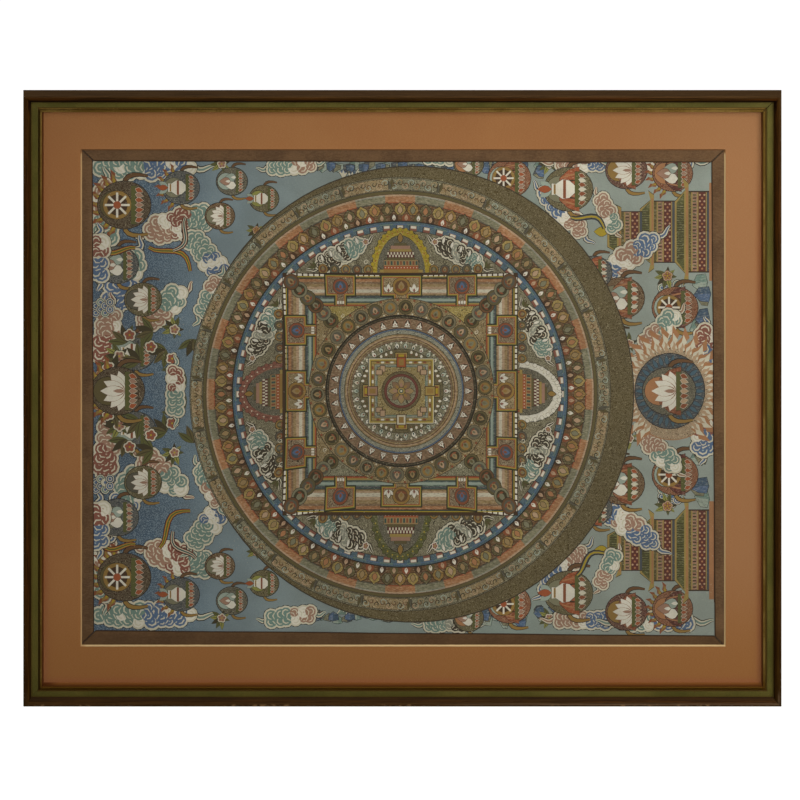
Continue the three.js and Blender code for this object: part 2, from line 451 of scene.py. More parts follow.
# Pigments as they look in soft daylight: red, green and blue from 0 to 255
pigments = {
    "indigo": (62, 82, 98), "mint": (143, 153, 136), "mintDeep": (104, 126, 112), "mintLight": (168, 174, 152),
    "blueLight": (150, 160, 158), "roseLight": (172, 148, 126), "cream": (190, 182, 156), "white": (206, 199, 178),
    "ink": (30, 26, 22), "inkSoft": (58, 50, 36), "pinkDust": (146, 112, 90), "rose": (124, 76, 60),
    "vermilion": (146, 76, 42), "rust": (124, 70, 42), "maroon": (88, 44, 36), "ochre": (136, 106, 52),
    "gold": (146, 124, 66), "tan": (142, 118, 78), "peach": (154, 108, 70), "flesh": (166, 138, 106),
    "olive": (88, 78, 46), "oliveDark": (60, 53, 32), "sage": (116, 112, 86), "leaf": (84, 84, 44),
    "yellowGreen": (132, 130, 64), "tealDark": (50, 74, 66), "teal": (98, 116, 100), "cloudBlue": (78, 98, 122),
    "dusk": (84, 80, 66), "slate": (70, 74, 76), "brown": (96, 68, 40), "umber": (66, 46, 28),
    "yellow": (158, 136, 36), "moss": (108, 101, 76), "honey": (134, 109, 64), "mist": (134, 134, 116),
    "fawn": (120, 95, 68), "gilt": (160, 138, 58), "ringTeal": (66, 88, 96), "bark": (80, 66, 30),
}

# Brushwork that the paint's material adds: dots, scrolling line work, fine strokes
brushes = {"plain": (0, 0, 0), "dots": (1, 0, 0), "scrolls": (0, 1, 0), "strokes": (0, 0, 1),
           "boldScrolls": (0, 1.5, 0.4), "fineDots": (0.5, 0, 0.3), "lightScrolls": (0, 0.5, 0.3),
           "darkScrolls": (0, 0.85, 0.3)}

painting = []  # what is painted, in order: outline, pigment, brush
dice = Random()
skyward = pi / 2  # the cloth is turned on its side, so what stands on its land points left


# A spot is where something is painted: x, y, turn and size. Turn 0 is up
def place(outline, x, y, turn=0.0, size=1.0, flip=1):
    c, s = cos(turn), sin(turn)
    return [(x + size * (px * flip * c - py * s), y + size * (px * flip * s + py * c)) for px, py in outline]


def moved(spot, across, up, lean=0.0, scale=1.0):
    # the spot that lies across and up from another, in that one's own measure
    return (*place([(across, up)], *spot)[0], spot[2] + lean, spot[3] * scale)


def onRing(radius, angle, size=1.0):
    return radius * cos(angle), radius * sin(angle), angle - pi / 2, size


def ringOf(count, start=0.0):
    return [(i, start + 2 * pi * i / count) for i in range(count)]


def paint(outline, pigment, brush="plain"):
    painting.append((outline, pigment, brush))


def grow(outline, edge):
    midX, midY = [sum(values) / len(outline) for values in zip(*outline)]
    grown = []
    for x, y in outline:
        reach = max(hypot(x - midX, y - midY), 0.01)
        grown.append((x + (x - midX) * edge / reach, y + (y - midY) * edge / reach))
    return grown


def inked(outline, pigment, edge=0.6, line="ink", brush="plain"):
    paint(grow(outline, edge), line)
    paint(outline, pigment, brush)


def stamp(spot, outline, pigment, brush="plain"):
    paint(place(outline, *spot), pigment, brush)


def inkedStamp(spot, outline, pigment, edge=0.6, line="ink", brush="plain"):
    inked(place(outline, *spot), pigment, edge, line, brush)


# Outlines, in millimetres. Each is drawn about its own foot or middle, pointing up
def circle(radius, count=14, x=0, y=0, squash=1):
    return [(x + radius * cos(2 * pi * i / count), y + radius * squash * sin(2 * pi * i / count))
            for i in range(count)]


def box(left, bottom, right, top):
    return [(left, bottom), (right, bottom), (right, top), (left, top)]


def bar(half, bottom, top, mid=0):
    return box(mid - half, bottom, mid + half, top)


def petal(length, width, steps=5, belly=0.9):
    side = [(width / 2 * sin(pi * (i / steps) ** belly), length * (i / steps)) for i in range(1, steps)]
    return [(0, 0)] + side + [(0, length)] + [(-x, y) for x, y in reversed(side)]


def scallop(radius, lobes, depth, perLobe=3):
    outline = []
    for i in range(lobes * perLobe):
        angle = 2 * pi * i / (lobes * perLobe)
        reach = radius * (1 - depth + depth * abs(sin(angle * lobes / 2)))
        outline.append((reach * cos(angle), reach * sin(angle)))
    return outline


def sector(inner, outer, start, stop, steps):
    angles = [start + (stop - start) * i / steps for i in range(steps + 1)]
    return ([(outer * cos(a), outer * sin(a)) for a in angles]
            + [(inner * cos(a), inner * sin(a)) for a in reversed(angles)])


def brushLine(path, width, taper=0.25):
    left, right = [], []
    last = len(path) - 1
    for i, (x, y) in enumerate(path):
        before, after = path[max(i - 1, 0)], path[min(i + 1, last)]
        run = max(hypot(after[0] - before[0], after[1] - before[1]), 0.001)
        half = width / 2 * (taper + (1 - taper) * sin(pi * min(max(i / last, 0.04), 0.96)) ** 0.6)
        offX, offY = (after[1] - before[1]) / run * half, -(after[0] - before[0]) / run * half
        left.append((x + offX, y + offY))
        right.append((x - offX, y - offY))
    return left + right[::-1]


def swoop(start, middle, end, count=7):
    # a smooth curve that leans towards its middle point
    return [tuple((1 - t) ** 2 * a + 2 * t * (1 - t) * b + t * t * c for a, b, c in zip(start, middle, end))
            for t in [k / (count - 1) for k in range(count)]]


def spiral(turns, last=6, core=0.25):
    return [((1 - (1 - core) * i / last) * cos(2 * pi * turns * i / last),
             (1 - (1 - core) * i / last) * sin(2 * pi * turns * i / last)) for i in range(last + 1)]


# Motifs
def lotusBud(spot):
    for lean, length, width in ((0.75, 0.8, 0.42), (-0.75, 0.8, 0.42), (0, 1.0, 0.5)):
        inkedStamp(moved(spot, 0, 0, lean), petal(length, width, 4), "white", 0.35, "inkSoft")
    stamp(spot, petal(0.45, 0.26, 3), "rose")


def lotusSeat(spot, tints, petals=7):
    x, y, turn, width = spot
    inkedStamp(spot, bar(0.5, -0.03, 0.1), "leaf", 0.4)
    for i in range(petals):
        at = (i - (petals - 1) / 2) / petals
        leaf = place(petal(0.24, 1.05 / petals, 3, 0.7), x + at * width * cos(turn), y + at * width * sin(turn),
                     turn + pi - at * 0.9, width)
        inked(leaf, "cream", 0.35)
        paint(grow(leaf, -0.55), tints[i % 2])


def roundel(x, y, radius, face, rim, turn, jewel):
    inked(circle(radius, 13, x, y), rim, 0.55)
    paint(circle(radius * 0.74, 11, x, y), face)
    for low, lean, length, width, steps, tint in ((0.45, 0, 1.05, 0.72, 4, jewel), (0.3, 0, 0.55, 0.34, 3, rim),
                                                  (0.45, 1.15, 0.62, 0.26, 3, "rust"),
                                                  (0.45, -1.15, 0.62, 0.26, 3, "rust")):
        foot = x + radius * low * sin(turn), y - radius * low * cos(turn)
        paint(place(petal(length, width, steps), *foot, turn + lean, radius), tint)


def stupa(spot):
    stamp(spot, [(-0.5, -0.06), (0.5, -0.06), (0.1, 1.12), (-0.1, 1.12)], "inkSoft")
    stamp(spot, bar(0.42, 0, 0.14), "white")
    stamp(spot, [(-0.3, 0.2), (0.3, 0.2), (0.34, 0.42), (0.13, 0.6), (0, 1.05), (-0.13, 0.6), (-0.34, 0.42)], "white")
    stamp(spot, bar(0.09, 0.26, 0.44), "rose")


def flower(x, y, radius, turn, tints, lobes=5):
    for size, depth, tint in ((1.1, 0.22, "ink"), (1.0, 0.22, tints[0]), (0.78, 0.26, tints[1])):
        paint(place(scallop(size, lobes, depth), x, y, turn, radius), tint)
    for i in range(lobes):
        angle = turn + 2 * pi * (i + 0.5) / lobes
        paint(place(petal(0.42, 0.24, 3), x + radius * 0.28 * cos(angle), y + radius * 0.28 * sin(angle),
                    angle - pi / 2, radius), tints[2])
    paint(circle(radius * 0.17, 6, x, y), "yellow")


def leafSpray(spot, count, spread, tints=("leaf", "yellowGreen", "oliveDark")):
    for i in range(count):
        leaning = moved(spot, 0, 0, (i - (count - 1) / 2) * spread)
        inkedStamp(leaning, petal(1, 0.34), tints[i % len(tints)], 0.35, "inkSoft")
        stamp(leaning, brushLine([(0, 0.1), (0.02, 0.5), (0, 0.9)], 0.05), "oliveDark")


def curl(x, y, turn, radius, pigment, width, flip=1, turns=1.15):
    paint(place(brushLine(spiral(turns), width / radius), x, y, turn, radius, flip), pigment)


def flame(spot, tints):
    shape = [(0, 0), (0.2, 0.18), (0.16, 0.42), (0.3, 0.6), (0.1, 1.0), (0.02, 0.62), (-0.16, 0.4), (-0.12, 0.15)]
    for i, tint in enumerate(tints):
        stamp(moved(spot, 0, 0, scale=1 - 0.3 * i), shape, tint)


def streamer(x, y, turn, length, tints=("ink", "vermilion", "yellow", "leaf")):
    path = place([(0.18 * length * sin(pi * 1.5 * t / 8), length * t / 8) for t in range(9)], x, y, turn)
    for i, tint in enumerate(tints):
        paint(brushLine(path, 7.5 * (1 - i / len(tints)), 0.5), tint)


def sprig(x, y, turn, size, bloom=("cream", "pinkDust", "rose")):
    leafSpray((x, y, turn, size), 5, 0.55)
    leafSpray((x, y, turn + pi, size * 0.7), 3, 0.8)
    flower(x, y, size * 0.42, turn, bloom)


# Offerings, each on its lotus seat before a halo
def vase(spot):
    body = [(-0.12, 0.42), (-0.3, 0.62), (-0.34, 0.86), (-0.18, 1.1), (-0.2, 1.24), (0.2, 1.24), (0.18, 1.1),
            (0.34, 0.86), (0.3, 0.62), (0.12, 0.42)]
    inkedStamp(spot, body, "white", 0.4)
    stamp(spot, bar(0.32, 0.74, 0.84), "rust")
    stamp(spot, bar(0.17, 1.1, 1.17), "ochre")
    for lean, tint in ((0.6, "mint"), (-0.6, "mint"), (0, "vermilion")):
        inkedStamp(moved(spot, 0, 1.24, lean), petal(0.5, 0.26, 4), tint, 0.3)


def jewels(spot):
    for across, up, tint in ((-0.22, 0.42, "white"), (0.22, 0.42, "mint"), (0, 0.72, "pinkDust")):
        foot = moved(spot, across, up)
        inkedStamp(foot, petal(0.62, 0.44, 5, 0.75), tint, 0.4)
        stamp(foot, petal(0.3, 0.16, 3, 0.75), "white")


def wheel(spot):
    x, y, turn, size = moved(spot, 0, 0.88)
    inked(circle(size * 0.46, 16, x, y), "ochre", 0.4)
    paint(circle(size * 0.34, 14, x, y), "umber")
    for i in range(8):
        paint(place(bar(0.035, 0.08, 0.4), x, y, turn + i * pi / 4, size), "white")
    paint(circle(size * 0.13, 8, x, y), "vermilion")


def lotus(spot):
    for lean in (1.25, -1.25, 0.85, -0.85, 0.42, -0.42, 0):
        root = moved(spot, 0, 0.42, lean)
        inkedStamp(root, petal(0.8 - 0.1 * abs(lean), 0.34), "white", 0.35, "rose")
        stamp(root, petal(0.4, 0.14, 3), "pinkDust")


def altar(x, y, size, offering, halo, glow, seat=("vermilion", "pinkDust"), flames=0, drape=""):
    spot = (x, y, skyward, size)
    for i in range(flames):
        leaning = moved(spot, 0, 0.72, (i - (flames - 1) / 2) * 2.6 / flames)
        flame(moved(leaning, 0, 0.8, scale=0.56), ("rust", "ochre", "yellow"))
    for side, tint in ((1, "brown"), (-1, "ochre")):
        scarf = swoop((0.5 * side, 0.7), (1.25 * side, 0.85), (1.02 * side, -0.12))
        stamp(spot, brushLine(scarf, 0.2, 0.3), "ink")
        stamp(spot, brushLine(scarf, 0.14, 0.3), tint)
    inkedStamp(moved(spot, 0, 0.72, scale=0.84), circle(1, 24, squash=1.12), halo, 0.8, "ink", "scrolls")
    inked(circle(size * 0.5, 16, *moved(moved(spot, 0, 0.72), 0, 0.36)[:2]), glow, 0.5)
    if drape:
        hanging = [(-0.86, 0.3), (-0.74, 0.72), (-0.42, 1.06), (0.42, 1.06), (0.74, 0.72), (0.86, 0.3)]
        inkedStamp(spot, hanging, drape, 0.5, "ink", "strokes")
        for reach, tint in ((-0.6, "peach"), (-0.36, "umber"), (0.36, "umber"), (0.6, "peach")):
            fold = swoop((reach, 0.36), (reach * 0.9, 0.7), (reach * 0.75, 0.98), 4)
            stamp(spot, brushLine(fold, 0.07), tint)
    offering(moved(spot, 0, 0, scale=1.1))
    lotusSeat(moved(spot, 0, 0.34, scale=1.35), seat)


# Clouds are heaps of puffs, thick in the middle, with a wavy tail at each end
cloudTints = {"blue": ("blueLight", "cloudBlue"), "mint": ("mintLight", "mintDeep"),
              "pink": ("roseLight", "pinkDust"), "rose": ("roseLight", "rose"), "stone": ("flesh", "inkSoft")}


def cloudBank(x, y, length, depth, turn, names, size=11, core="white"):
    tints = [cloudTints[name] for name in names.split()]
    for side in (-1, 1):
        tail = [(side * length * (0.36 + 0.04 * k), depth * 0.3 * sin(k * 0.85) * (1 - k / 14)) for k in range(10)]
        tail = place(tail, x, y, turn)
        for width, tint in ((0.86, "ink"), (0.62, "cream"), (0.26, tints[0][1])):
            paint(brushLine(tail, size * width, 0.16), tint)
    rows = max(2, round(depth * 1.5 / size))
    puffs = []
    for row in range(rows):
        up = (row + 0.5) / rows * 2 - 1
        reach = length * 0.5 * sqrt(1 - 0.6 * up * up)
        count = max(2, round(reach * 1.75 / size))
        for i in range(count):
            along = (i + 0.5) / count * 2 - 1 + dice.uniform(-0.4, 0.4) / count
            px = along * reach
            py = up * depth * 0.62 * sqrt(1 - 0.5 * along * along) + dice.uniform(-0.1, 0.1) * size
            tint = tints[int((along * 0.5 + 0.5) * len(tints)) % len(tints)]
            puff = place([(px, py)], x, y, turn)[0]
            puffs.append((*puff, size * dice.uniform(0.7, 1.04), turn + atan2(py, px), tint))
    for edge, count, tint in ((1.9, 10, "ink"), (1.1, 11, "cream")):
        for px, py, radius, *rest in puffs:
            paint(circle(radius + edge, count, px, py), tint)
    for i, (px, py, radius, out, (pale, deep)) in enumerate(puffs):
        # pale rims nested in the deep tint, like the rims of a shell
        puff = (px, py, out, radius)
        stamp(puff, circle(0.86, 9), core if i % 7 == 3 else deep)
        for reach, width, tint in ((0.52, 0.22, "cream"), (0.06, 0.2, pale)):
            arc = [(reach * cos(a), reach * sin(a)) for a in (-1.7, -0.85, 0, 0.85, 1.7)]
            stamp(puff, brushLine(arc, width, 0.25), tint)
        stamp(puff, brushLine([(-0.5, -0.5), (-0.24, 0), (-0.5, 0.5)], 0.2, 0.3), "cream")


# The mandala, from its outer ring inwards
def disc(radius, pigment, brush="plain", count=120):
    paint(circle(radius, count), pigment, brush)


def tile(inner, outer, angle, half, pigment, brush="plain", steps=3):
    paint(sector(inner, outer, angle - half, angle + half, steps), pigment, brush)


def quarterOf(quarter):
    return lambda outline: place(outline, 0, 0, quarter * pi / 2)


def pot(angle, tint, trim):
    # a round jar with a bud in it, standing on a ring
    x, y, turn, size = onRing(227.6, angle, 7.6)
    jar = [(-0.42, -0.85), (-0.95, -0.2), (-0.8, 0.5), (-0.3, 0.85), (0, 1.15), (0.3, 0.85), (0.8, 0.5), (0.95, -0.2),
           (0.42, -0.85)]
    paint(place(jar, x, y, turn, size + 0.7), "ink")
    paint(place(jar, x, y, turn, size), tint, "strokes")
    for low, length, width, shade in ((0.8, 1.5, 1.0, "inkSoft"), (0.7, 1.3, 0.8, trim)):
        paint(place(petal(length, width, 4), x - size * low * cos(angle), y - size * low * sin(angle), turn, size),
              shade)


def outerRings():
    paint(circle(281.4, 90, 16), "inkSoft")
    paint(circle(280, 90, 16), "bark", "darkScrolls")
    disc(267.6, "inkSoft")
    disc(266.8, "sage", "boldScrolls")
    cartouches = 26
    for i, angle in ringOf(cartouches, 0.05):
        half = pi / cartouches * 0.94
        tile(251.4, 266, angle, half, "inkSoft", steps=6)
        tile(252, 265.4, angle, half * 0.98, ("sage", "tan")[i % 2], "boldScrolls", 6)
        for k in range(8):
            at = angle + (k - 3.5) * half * 0.25
            flip = 1 if k % 2 else -1
            x, y = onRing(258.8 - flip * 1.6, at)[:2]
            curl(x, y, at + flip, 5.4, ("tan", "mint", "flesh")[(i + k) % 3], 1.2, flip, 0.95)
            curl(x, y, at + pi + flip, 3.8, ("oliveDark", "brown")[k % 2], 1.4, flip, 0.8)
        leafSpray(onRing(252, angle + pi / cartouches, 14), 2, 0.5, ("olive", "dusk"))
    disc(251, "inkSoft")
    disc(250.2, "olive")
    disc(246.6, "umber")
    disc(246, "flesh", "strokes")
    tiles = 40
    for i, angle in ringOf(tiles):
        tint, edge, top = (("peach", "vermilion", "flesh"), ("sage", "dusk", "mist"))[i % 2]
        tile(233, 245.6, angle, pi / tiles, tint, "strokes")
        tile(233, 236.6, angle, pi / tiles, edge, "strokes")
        tile(243.8, 245.6, angle, pi / tiles, top, "strokes")
    disc(235.4, "inkSoft")
    disc(234.8, "brown", "strokes")
    buds = 88
    for i, angle in ringOf(buds, pi / buds):
        paint(circle(5.6, 9, *onRing(216.5, angle)[:2]), ("rust", "umber", "olive")[i % 3])
        stamp(onRing(213.8, angle), petal(7.6, 4.6, 4), ("white", "flesh")[i % 2])
        stamp(onRing(214.6, angle), petal(3.0, 1.8, 3), "pinkDust")
    for i, angle in ringOf(buds):
        pot(angle, ("ochre", "gold", "olive")[i % 3], ("peach", "sage", "flesh", "tan")[i % 4])


def battlements():
    disc(213.6, "ink")
    disc(212.4, "ringTeal", "fineDots")
    blocks = 76
    half = pi / blocks
    for i, angle in ringOf(blocks):
        tile(208.6, 209.8, angle, half, ("teal", "cloudBlue")[i % 2], steps=2)
        paint(sector(200, 208.4, angle + half * 0.52, angle + half * 0.62, 1), "ink")
        for low, high, width, tint in ((200, 205.6, 0.5, "rose"), (204.2, 208, 0.44, "flesh"),
                                       (204.8, 207.4, 0.38, "white")):
            tile(low, high, angle, half * width, tint, steps=1)
    disc(201.6, "inkSoft")
    disc(200.8, "moss", "boldScrolls")


def innerGarden():
    # Between the ring and the palace walls: jars in a row, a smoke-pale cloud with lilies, and small leaves
    for quarter in range(4):
        at = quarterOf(quarter)
        turn = quarter * pi / 2
        for side in (-1, 1):
            x, y = at([(side * 76, 173)])[0]
            cloudBank(x, y, 66, 15, turn - side * 0.46, "stone stone mint", 7.6, "mist")
            for k in range(5):
                x, y = at([(side * (54 + k * 11), 185.5 - k * 5.4)])[0]
                for length, width, size, tint in ((1.5, 0.7, 6.4, "inkSoft"), (1.4, 0.55, 6.2, "white")):
                    paint(place(petal(length, width, 4), x, y, turn - side * 0.3, size), tint)
            for k in range(5):
                x, y = at([(side * (42 + k * 14.2), 155)])[0]
                roundel(x, y, 5.8, ("olive", "brown", "dusk", "olive", "brown")[k], ("ochre", "dusk")[k % 2], turn,
                        ("sage", "tan")[k % 2])
                curl(x + dice.uniform(-3, 3), y + 9, dice.uniform(0, 6), 3.6, ("cream", "oliveDark")[k % 2], 1.1)
            flower(*at([(side * 44, 188)])[0], 4.4, turn, ("white", "pinkDust", "rose"))
            leafSpray((*at([(side * 108, 156)])[0], turn - side * 0.9, 9), 3, 0.6, ("leaf", "olive"))


def gate(quarter, arch, trim, width):
    at = quarterOf(quarter)

    def archPoint(reach, rise, angle):
        return reach * cos(angle), 152 + rise * sin(angle)
    # the coloured arch behind, with a scalloped edge
    rise = [archPoint(34, 48, pi * k / 16) for k in range(17)]
    paint(at(brushLine(rise, width + 1.6, 0.75)), "ink")
    paint(at(brushLine(rise, width, 0.75)), arch, "strokes")
    for k in range(1, 16):
        inked(circle(2.5, 8, *at([archPoint(37, 51, pi * k / 16)])[0]), arch, 0.35, "inkSoft")
    for k in range(1, 15):
        paint(circle(1.0, 5, *at([archPoint(34, 48, pi * (k + 0.5) / 16)])[0]), trim)
    paint(at([archPoint(31, 43, pi * k / 12) for k in range(13)]), "dusk", "scrolls")
    # tiers that step in towards the top
    for half, low, high, tint in ((25, 150, 156, "ochre"), (22, 156, 160, "vermilion"), (22, 160, 167, "tan"),
                                  (18, 167, 170, "olive"), (17, 170, 177, "maroon"), (14, 177, 180, "gold"),
                                  (12.5, 180, 184, "pinkDust"), (8, 184, 187, "olive")):
        inked(at(bar(half, low, high)), tint, 0.3)
    for row in range(2):
        for k in range(-8, 9):
            if (k + row) % 2:
                paint(at(bar(1, 170.6 + row * 3, 173.4 + row * 3, k * 2)), "cream")
    for k in range(-5, 6):
        paint(at(bar(1.2, 161.2, 165.8, k * 4)), ("rust", "tealDark")[k % 2])
        paint(at(circle(0.8, 5, k * 4, 158)), "cream")
    paint(at(place(petal(12, 8), 0, 187)), "ink")
    paint(at(place(petal(10.6, 6.4), 0, 187.6)), "ochre")
    for side in (-1, 1):
        for half, low, high, tint in ((1.8, 128, 156, "ink"), (1.1, 128, 155, "vermilion"), (2.6, 152, 155.6, "gold")):
            paint(at(bar(half, low, high, side * 25)), tint)


def teeBox(at, mid, half, stem, fill):
    # a T-shaped opening in the wall, outlined in the palace colours
    low, knee, high = 110, 121, 149.6
    for k, tint in enumerate(("ink", "leaf", "gilt", "vermilion", fill)):
        edge = k * 1.05
        tee = [(half - edge, high - edge), (half - edge, knee + edge), (stem - edge, knee + edge), (stem - edge, low)]
        paint(at([(mid + a, b) for a, b in tee] + [(mid - a, b) for a, b in tee[::-1]]), tint,
              "boldScrolls" if tint == fill else "plain")


def wall(quarter, field):
    at = quarterOf(quarter)
    turn = quarter * pi / 2

    def courses(rows):
        for low, high, pigment, *brush in rows:
            paint(at([(-low, low), (low, low), (high, high), (-high, high)]), pigment, *brush)
    courses(((108, 149.5, "ink"), (145.6, 149, "umber")))
    beads = 42
    for k in range(beads):
        mid = (k + 0.5 - beads / 2) * 6.9
        if abs(mid) > 27:
            paint(at(bar(2.5, 146, 148.7, mid)), "white")
    # bars shaded from brown to cream, and a blue-grey bar below
    courses(((144, 145.2, "yellow"), (142.8, 143.6, "tealDark"), (122, 142.4, "brown", "strokes"),
             (122.6, 141.6, "peach", "strokes"), (122.6, 138.4, "fawn", "strokes"), (122.6, 136, "tan", "strokes"),
             (124, 132.6, "flesh", "strokes"), (125.6, 129.4, "cream", "strokes"), (113, 122, "tealDark"),
             (114, 121, "slate", "strokes"), (114.6, 119, "teal", "strokes"), (115.2, 117.6, "mint"),
             (111, 113, "gold"), (109.2, 111, "vermilion")))
    for side in (-1, 1):
        teeBox(at, side * 78, 20, 8.4, "fawn")
        roundel(*at([(side * 78, 134)])[0], 9.6, "slate", "rust", turn, "cloudBlue")
        for k in range(3):
            paint(at(box(side * 78 - 4.6 + k * 3.4, 112, side * 78 - 2.2 + k * 3.4, 115.6)), "white")
    teeBox(at, 0, 27, 11, "tan")
    roundel(*at([(0, 134)])[0], 11.6, "brown", "ochre", turn, "tan")
    for side in (-1, 1):
        lotusBud((*at([(side * 16.5, 127)])[0], turn, 11))
    for k in range(5):
        paint(at(box(-7.4 + k * 3.2, 112, -5 + k * 3.2, 115)), "white")
    # the palace floor of this quarter, seen inside its wall
    paint(at([(-109, 109), (0, 0), (109, 109)]), "ink")
    paint(at([(-108, 108.6), (0, 0.6), (108, 108.6)]), field, "boldScrolls")


def scrollVines():
    # small curls over the palace floor
    for quarter in range(4):
        at = quarterOf(quarter)
        for k in range(34):
            x = (k % 17 - 8) * 11.6 + (k // 17) * 5.5
            y = 104.5 - (k // 17) * 7.5 + dice.uniform(-1.2, 1.2)
            if hypot(x, y) < 124 and abs(x) < y - 4:
                curl(*at([(x, y)])[0], dice.uniform(0, 6), 3.2, ("cream", "umber")[k % 2], 1.0, 1 if k % 3 else -1)


def diagonals():
    for quarter in range(4):
        angle = pi / 4 + quarter * pi / 2
        for k in range(6):
            roundel(*onRing(128 + k * 13.6, angle)[:2], 9.6, ("oliveDark", "dusk")[k % 2],
                    ("olive", "sage", "brown")[k % 3], angle - pi / 2, ("sage", "tan")[k % 2])


def petalRings():
    disc(119.4, "inkSoft")
    disc(118.6, "honey", "boldScrolls")
    count = 34
    for i, angle in ringOf(count, 0.04):
        roundel(*onRing(107.6, angle)[:2], 9, ("ochre", "dusk", "oliveDark")[i % 3], ("olive", "moss")[i % 2],
                angle - pi / 2, ("sage", "flesh", "tan")[i % 3])
    for i, angle in ringOf(count, 0.04 + pi / count):
        paint(circle(1.7, 6, *onRing(117, angle)[:2]), "rust")
        paint(circle(1.2, 6, *onRing(99.4, angle)[:2]), "cream")
    disc(97.8, "ink")
    disc(96, "oliveDark", "strokes")
    disc(94, "ink")
    disc(93.2, "fawn", "strokes")
    for i, angle in ringOf(count):
        stamp(onRing(81.6, angle), petal(11.8, 9.8), "pinkDust")
        stamp(onRing(82, angle), petal(10.6, 8.4), "brown", "strokes")
        stupa(onRing(82.6, angle, 8.4))
    disc(80.6, "ink")
    disc(79.8, "cloudBlue", "fineDots")
    disc(78.6, "slate")
    disc(78.0, "mist", "boldScrolls")
    disc(73.4, "oliveDark")
    for radius, tint in ((72.6, "tan"), (71, "flesh"), (69.6, "brown"), (68.2, "tan"), (66.6, "olive"),
                         (65.8, "fawn"), (64, "umber")):
        disc(radius, tint, "strokes", 90)
    disc(63.2, "sage", "boldScrolls", 90)
    for i, angle in ringOf(60):
        stamp(onRing(60.4, angle), petal(3.6, 2.6, 4), ("white", "mist", "cream")[i % 3])
    for i, angle in ringOf(count):
        stamp(onRing(54, angle), petal(8.4, 6.6, 4), "ink")
        stamp(onRing(54.6, angle), petal(7.2, 5.2, 4), ("white", "cream", "mintLight")[i % 3])
        stamp(onRing(55.4, angle), petal(3.4, 2.2, 3), ("rose", "tealDark")[i % 2])


def heart():
    # a small palace with four gates round the lotus in the middle
    disc(54.4, "inkSoft", count=80)
    disc(53.8, "olive", "lightScrolls", 80)
    for quarter in range(4):
        at = quarterOf(quarter)
        for side in (-1, 1):
            for k in range(3):
                x, y = at([(side * (13 + k * 6.4), 47 - k * 2.6)])[0]
                paint(place(petal(5, 3.4, 4), x, y, quarter * pi / 2), "white")
                paint(circle(0.9, 5, x, y), "rust")
        for tint, half, low, high in (("ink", 8.4, 38, 50), ("gold", 7.6, 38, 49.2), ("rust", 6, 40, 47.6),
                                      ("cream", 5, 41, 43), ("yellow", 3.6, 44, 47)):
            paint(at(bar(half, low, high)), tint)
    for half, *look in ((42.6, "ink"), (41.8, "cream"), (40.8, "gilt"), (38.8, "umber"), (38, "gold", "strokes"),
                        (34.6, "olive"), (34, "mist", "strokes"), (31.4, "tealDark"), (30.6, "gold", "boldScrolls")):
        paint(bar(half, -half, half), *look)
    for quarter, door in enumerate(("vermilion", "pinkDust", "cream", "gold")):
        at = quarterOf(quarter)
        for side in (-1, 1):
            for k in range(4):
                paint(at(bar(2, 35.6, 37.8, side * (12 + k * 6))), ("white", "rust")[k % 2])
            for mid, half, low, high, tint in ((24, 3.6, 24, 33, "umber"), (24, 2.8, 25, 32.2, "flesh"),
                                               (10, 3, 30.6, 32.4, "teal")):
                paint(at(bar(half, low, high, side * mid)), tint)
        for half, low, high, tint in ((6.4, 30, 44, "umber"), (5.4, 31, 43, door), (3.2, 33, 41, "ochre")):
            paint(at(bar(half, low, high)), tint)
    disc(25.6, "umber", count=48)
    disc(24.8, "olive", "lightScrolls", 48)
    for radius, tint in ((22, "maroon"), (20.6, "rose"), (20, "maroon")):
        disc(radius, tint, count=48)
    disc(18.6, "sage", "boldScrolls", 40)
    for i, angle in ringOf(8):
        inkedStamp(onRing(4, angle), petal(12.4, 8), ("tan", "fawn")[i % 2], 0.5, "umber")
        stamp(onRing(4, angle), petal(7, 3.4, 4), ("pinkDust", "ochre")[i % 2])
    inked(circle(4.6, 14), "gold", 0.6)
    paint(circle(2.6, 10), "tealDark")
    paint(circle(1.4, 8), "cream")


def settled(x, y):
    # the outer rings were drawn a little lower and taller than the palace
    loose = min(1, max(0, (hypot(x, y) - 152) / 46))
    spread = 0.988 + 0.012 * loose
    return x * spread - 1.5 * loose, y * spread * (1 + 0.03 * loose) - 4 * loose


def paintMandala():
    dice.seed(11)
    first = len(painting)
    outerRings()
    battlements()
    for quarter, (arch, trim, width) in enumerate((("yellow", "vermilion", 8), ("rose", "cream", 8),
                                                   ("leaf", "yellow", 8), ("white", "cream", 10.5))):
        gate(quarter, arch, trim, width)
    innerGarden()
    for quarter, field in enumerate(("gilt", "honey", "sage", "honey")):
        wall(quarter, field)
    scrollVines()
    petalRings()
    diagonals()
    heart()
    painting[first:] = [([settled(x, y) for x, y in outline], *look) for outline, *look in painting[first:]]


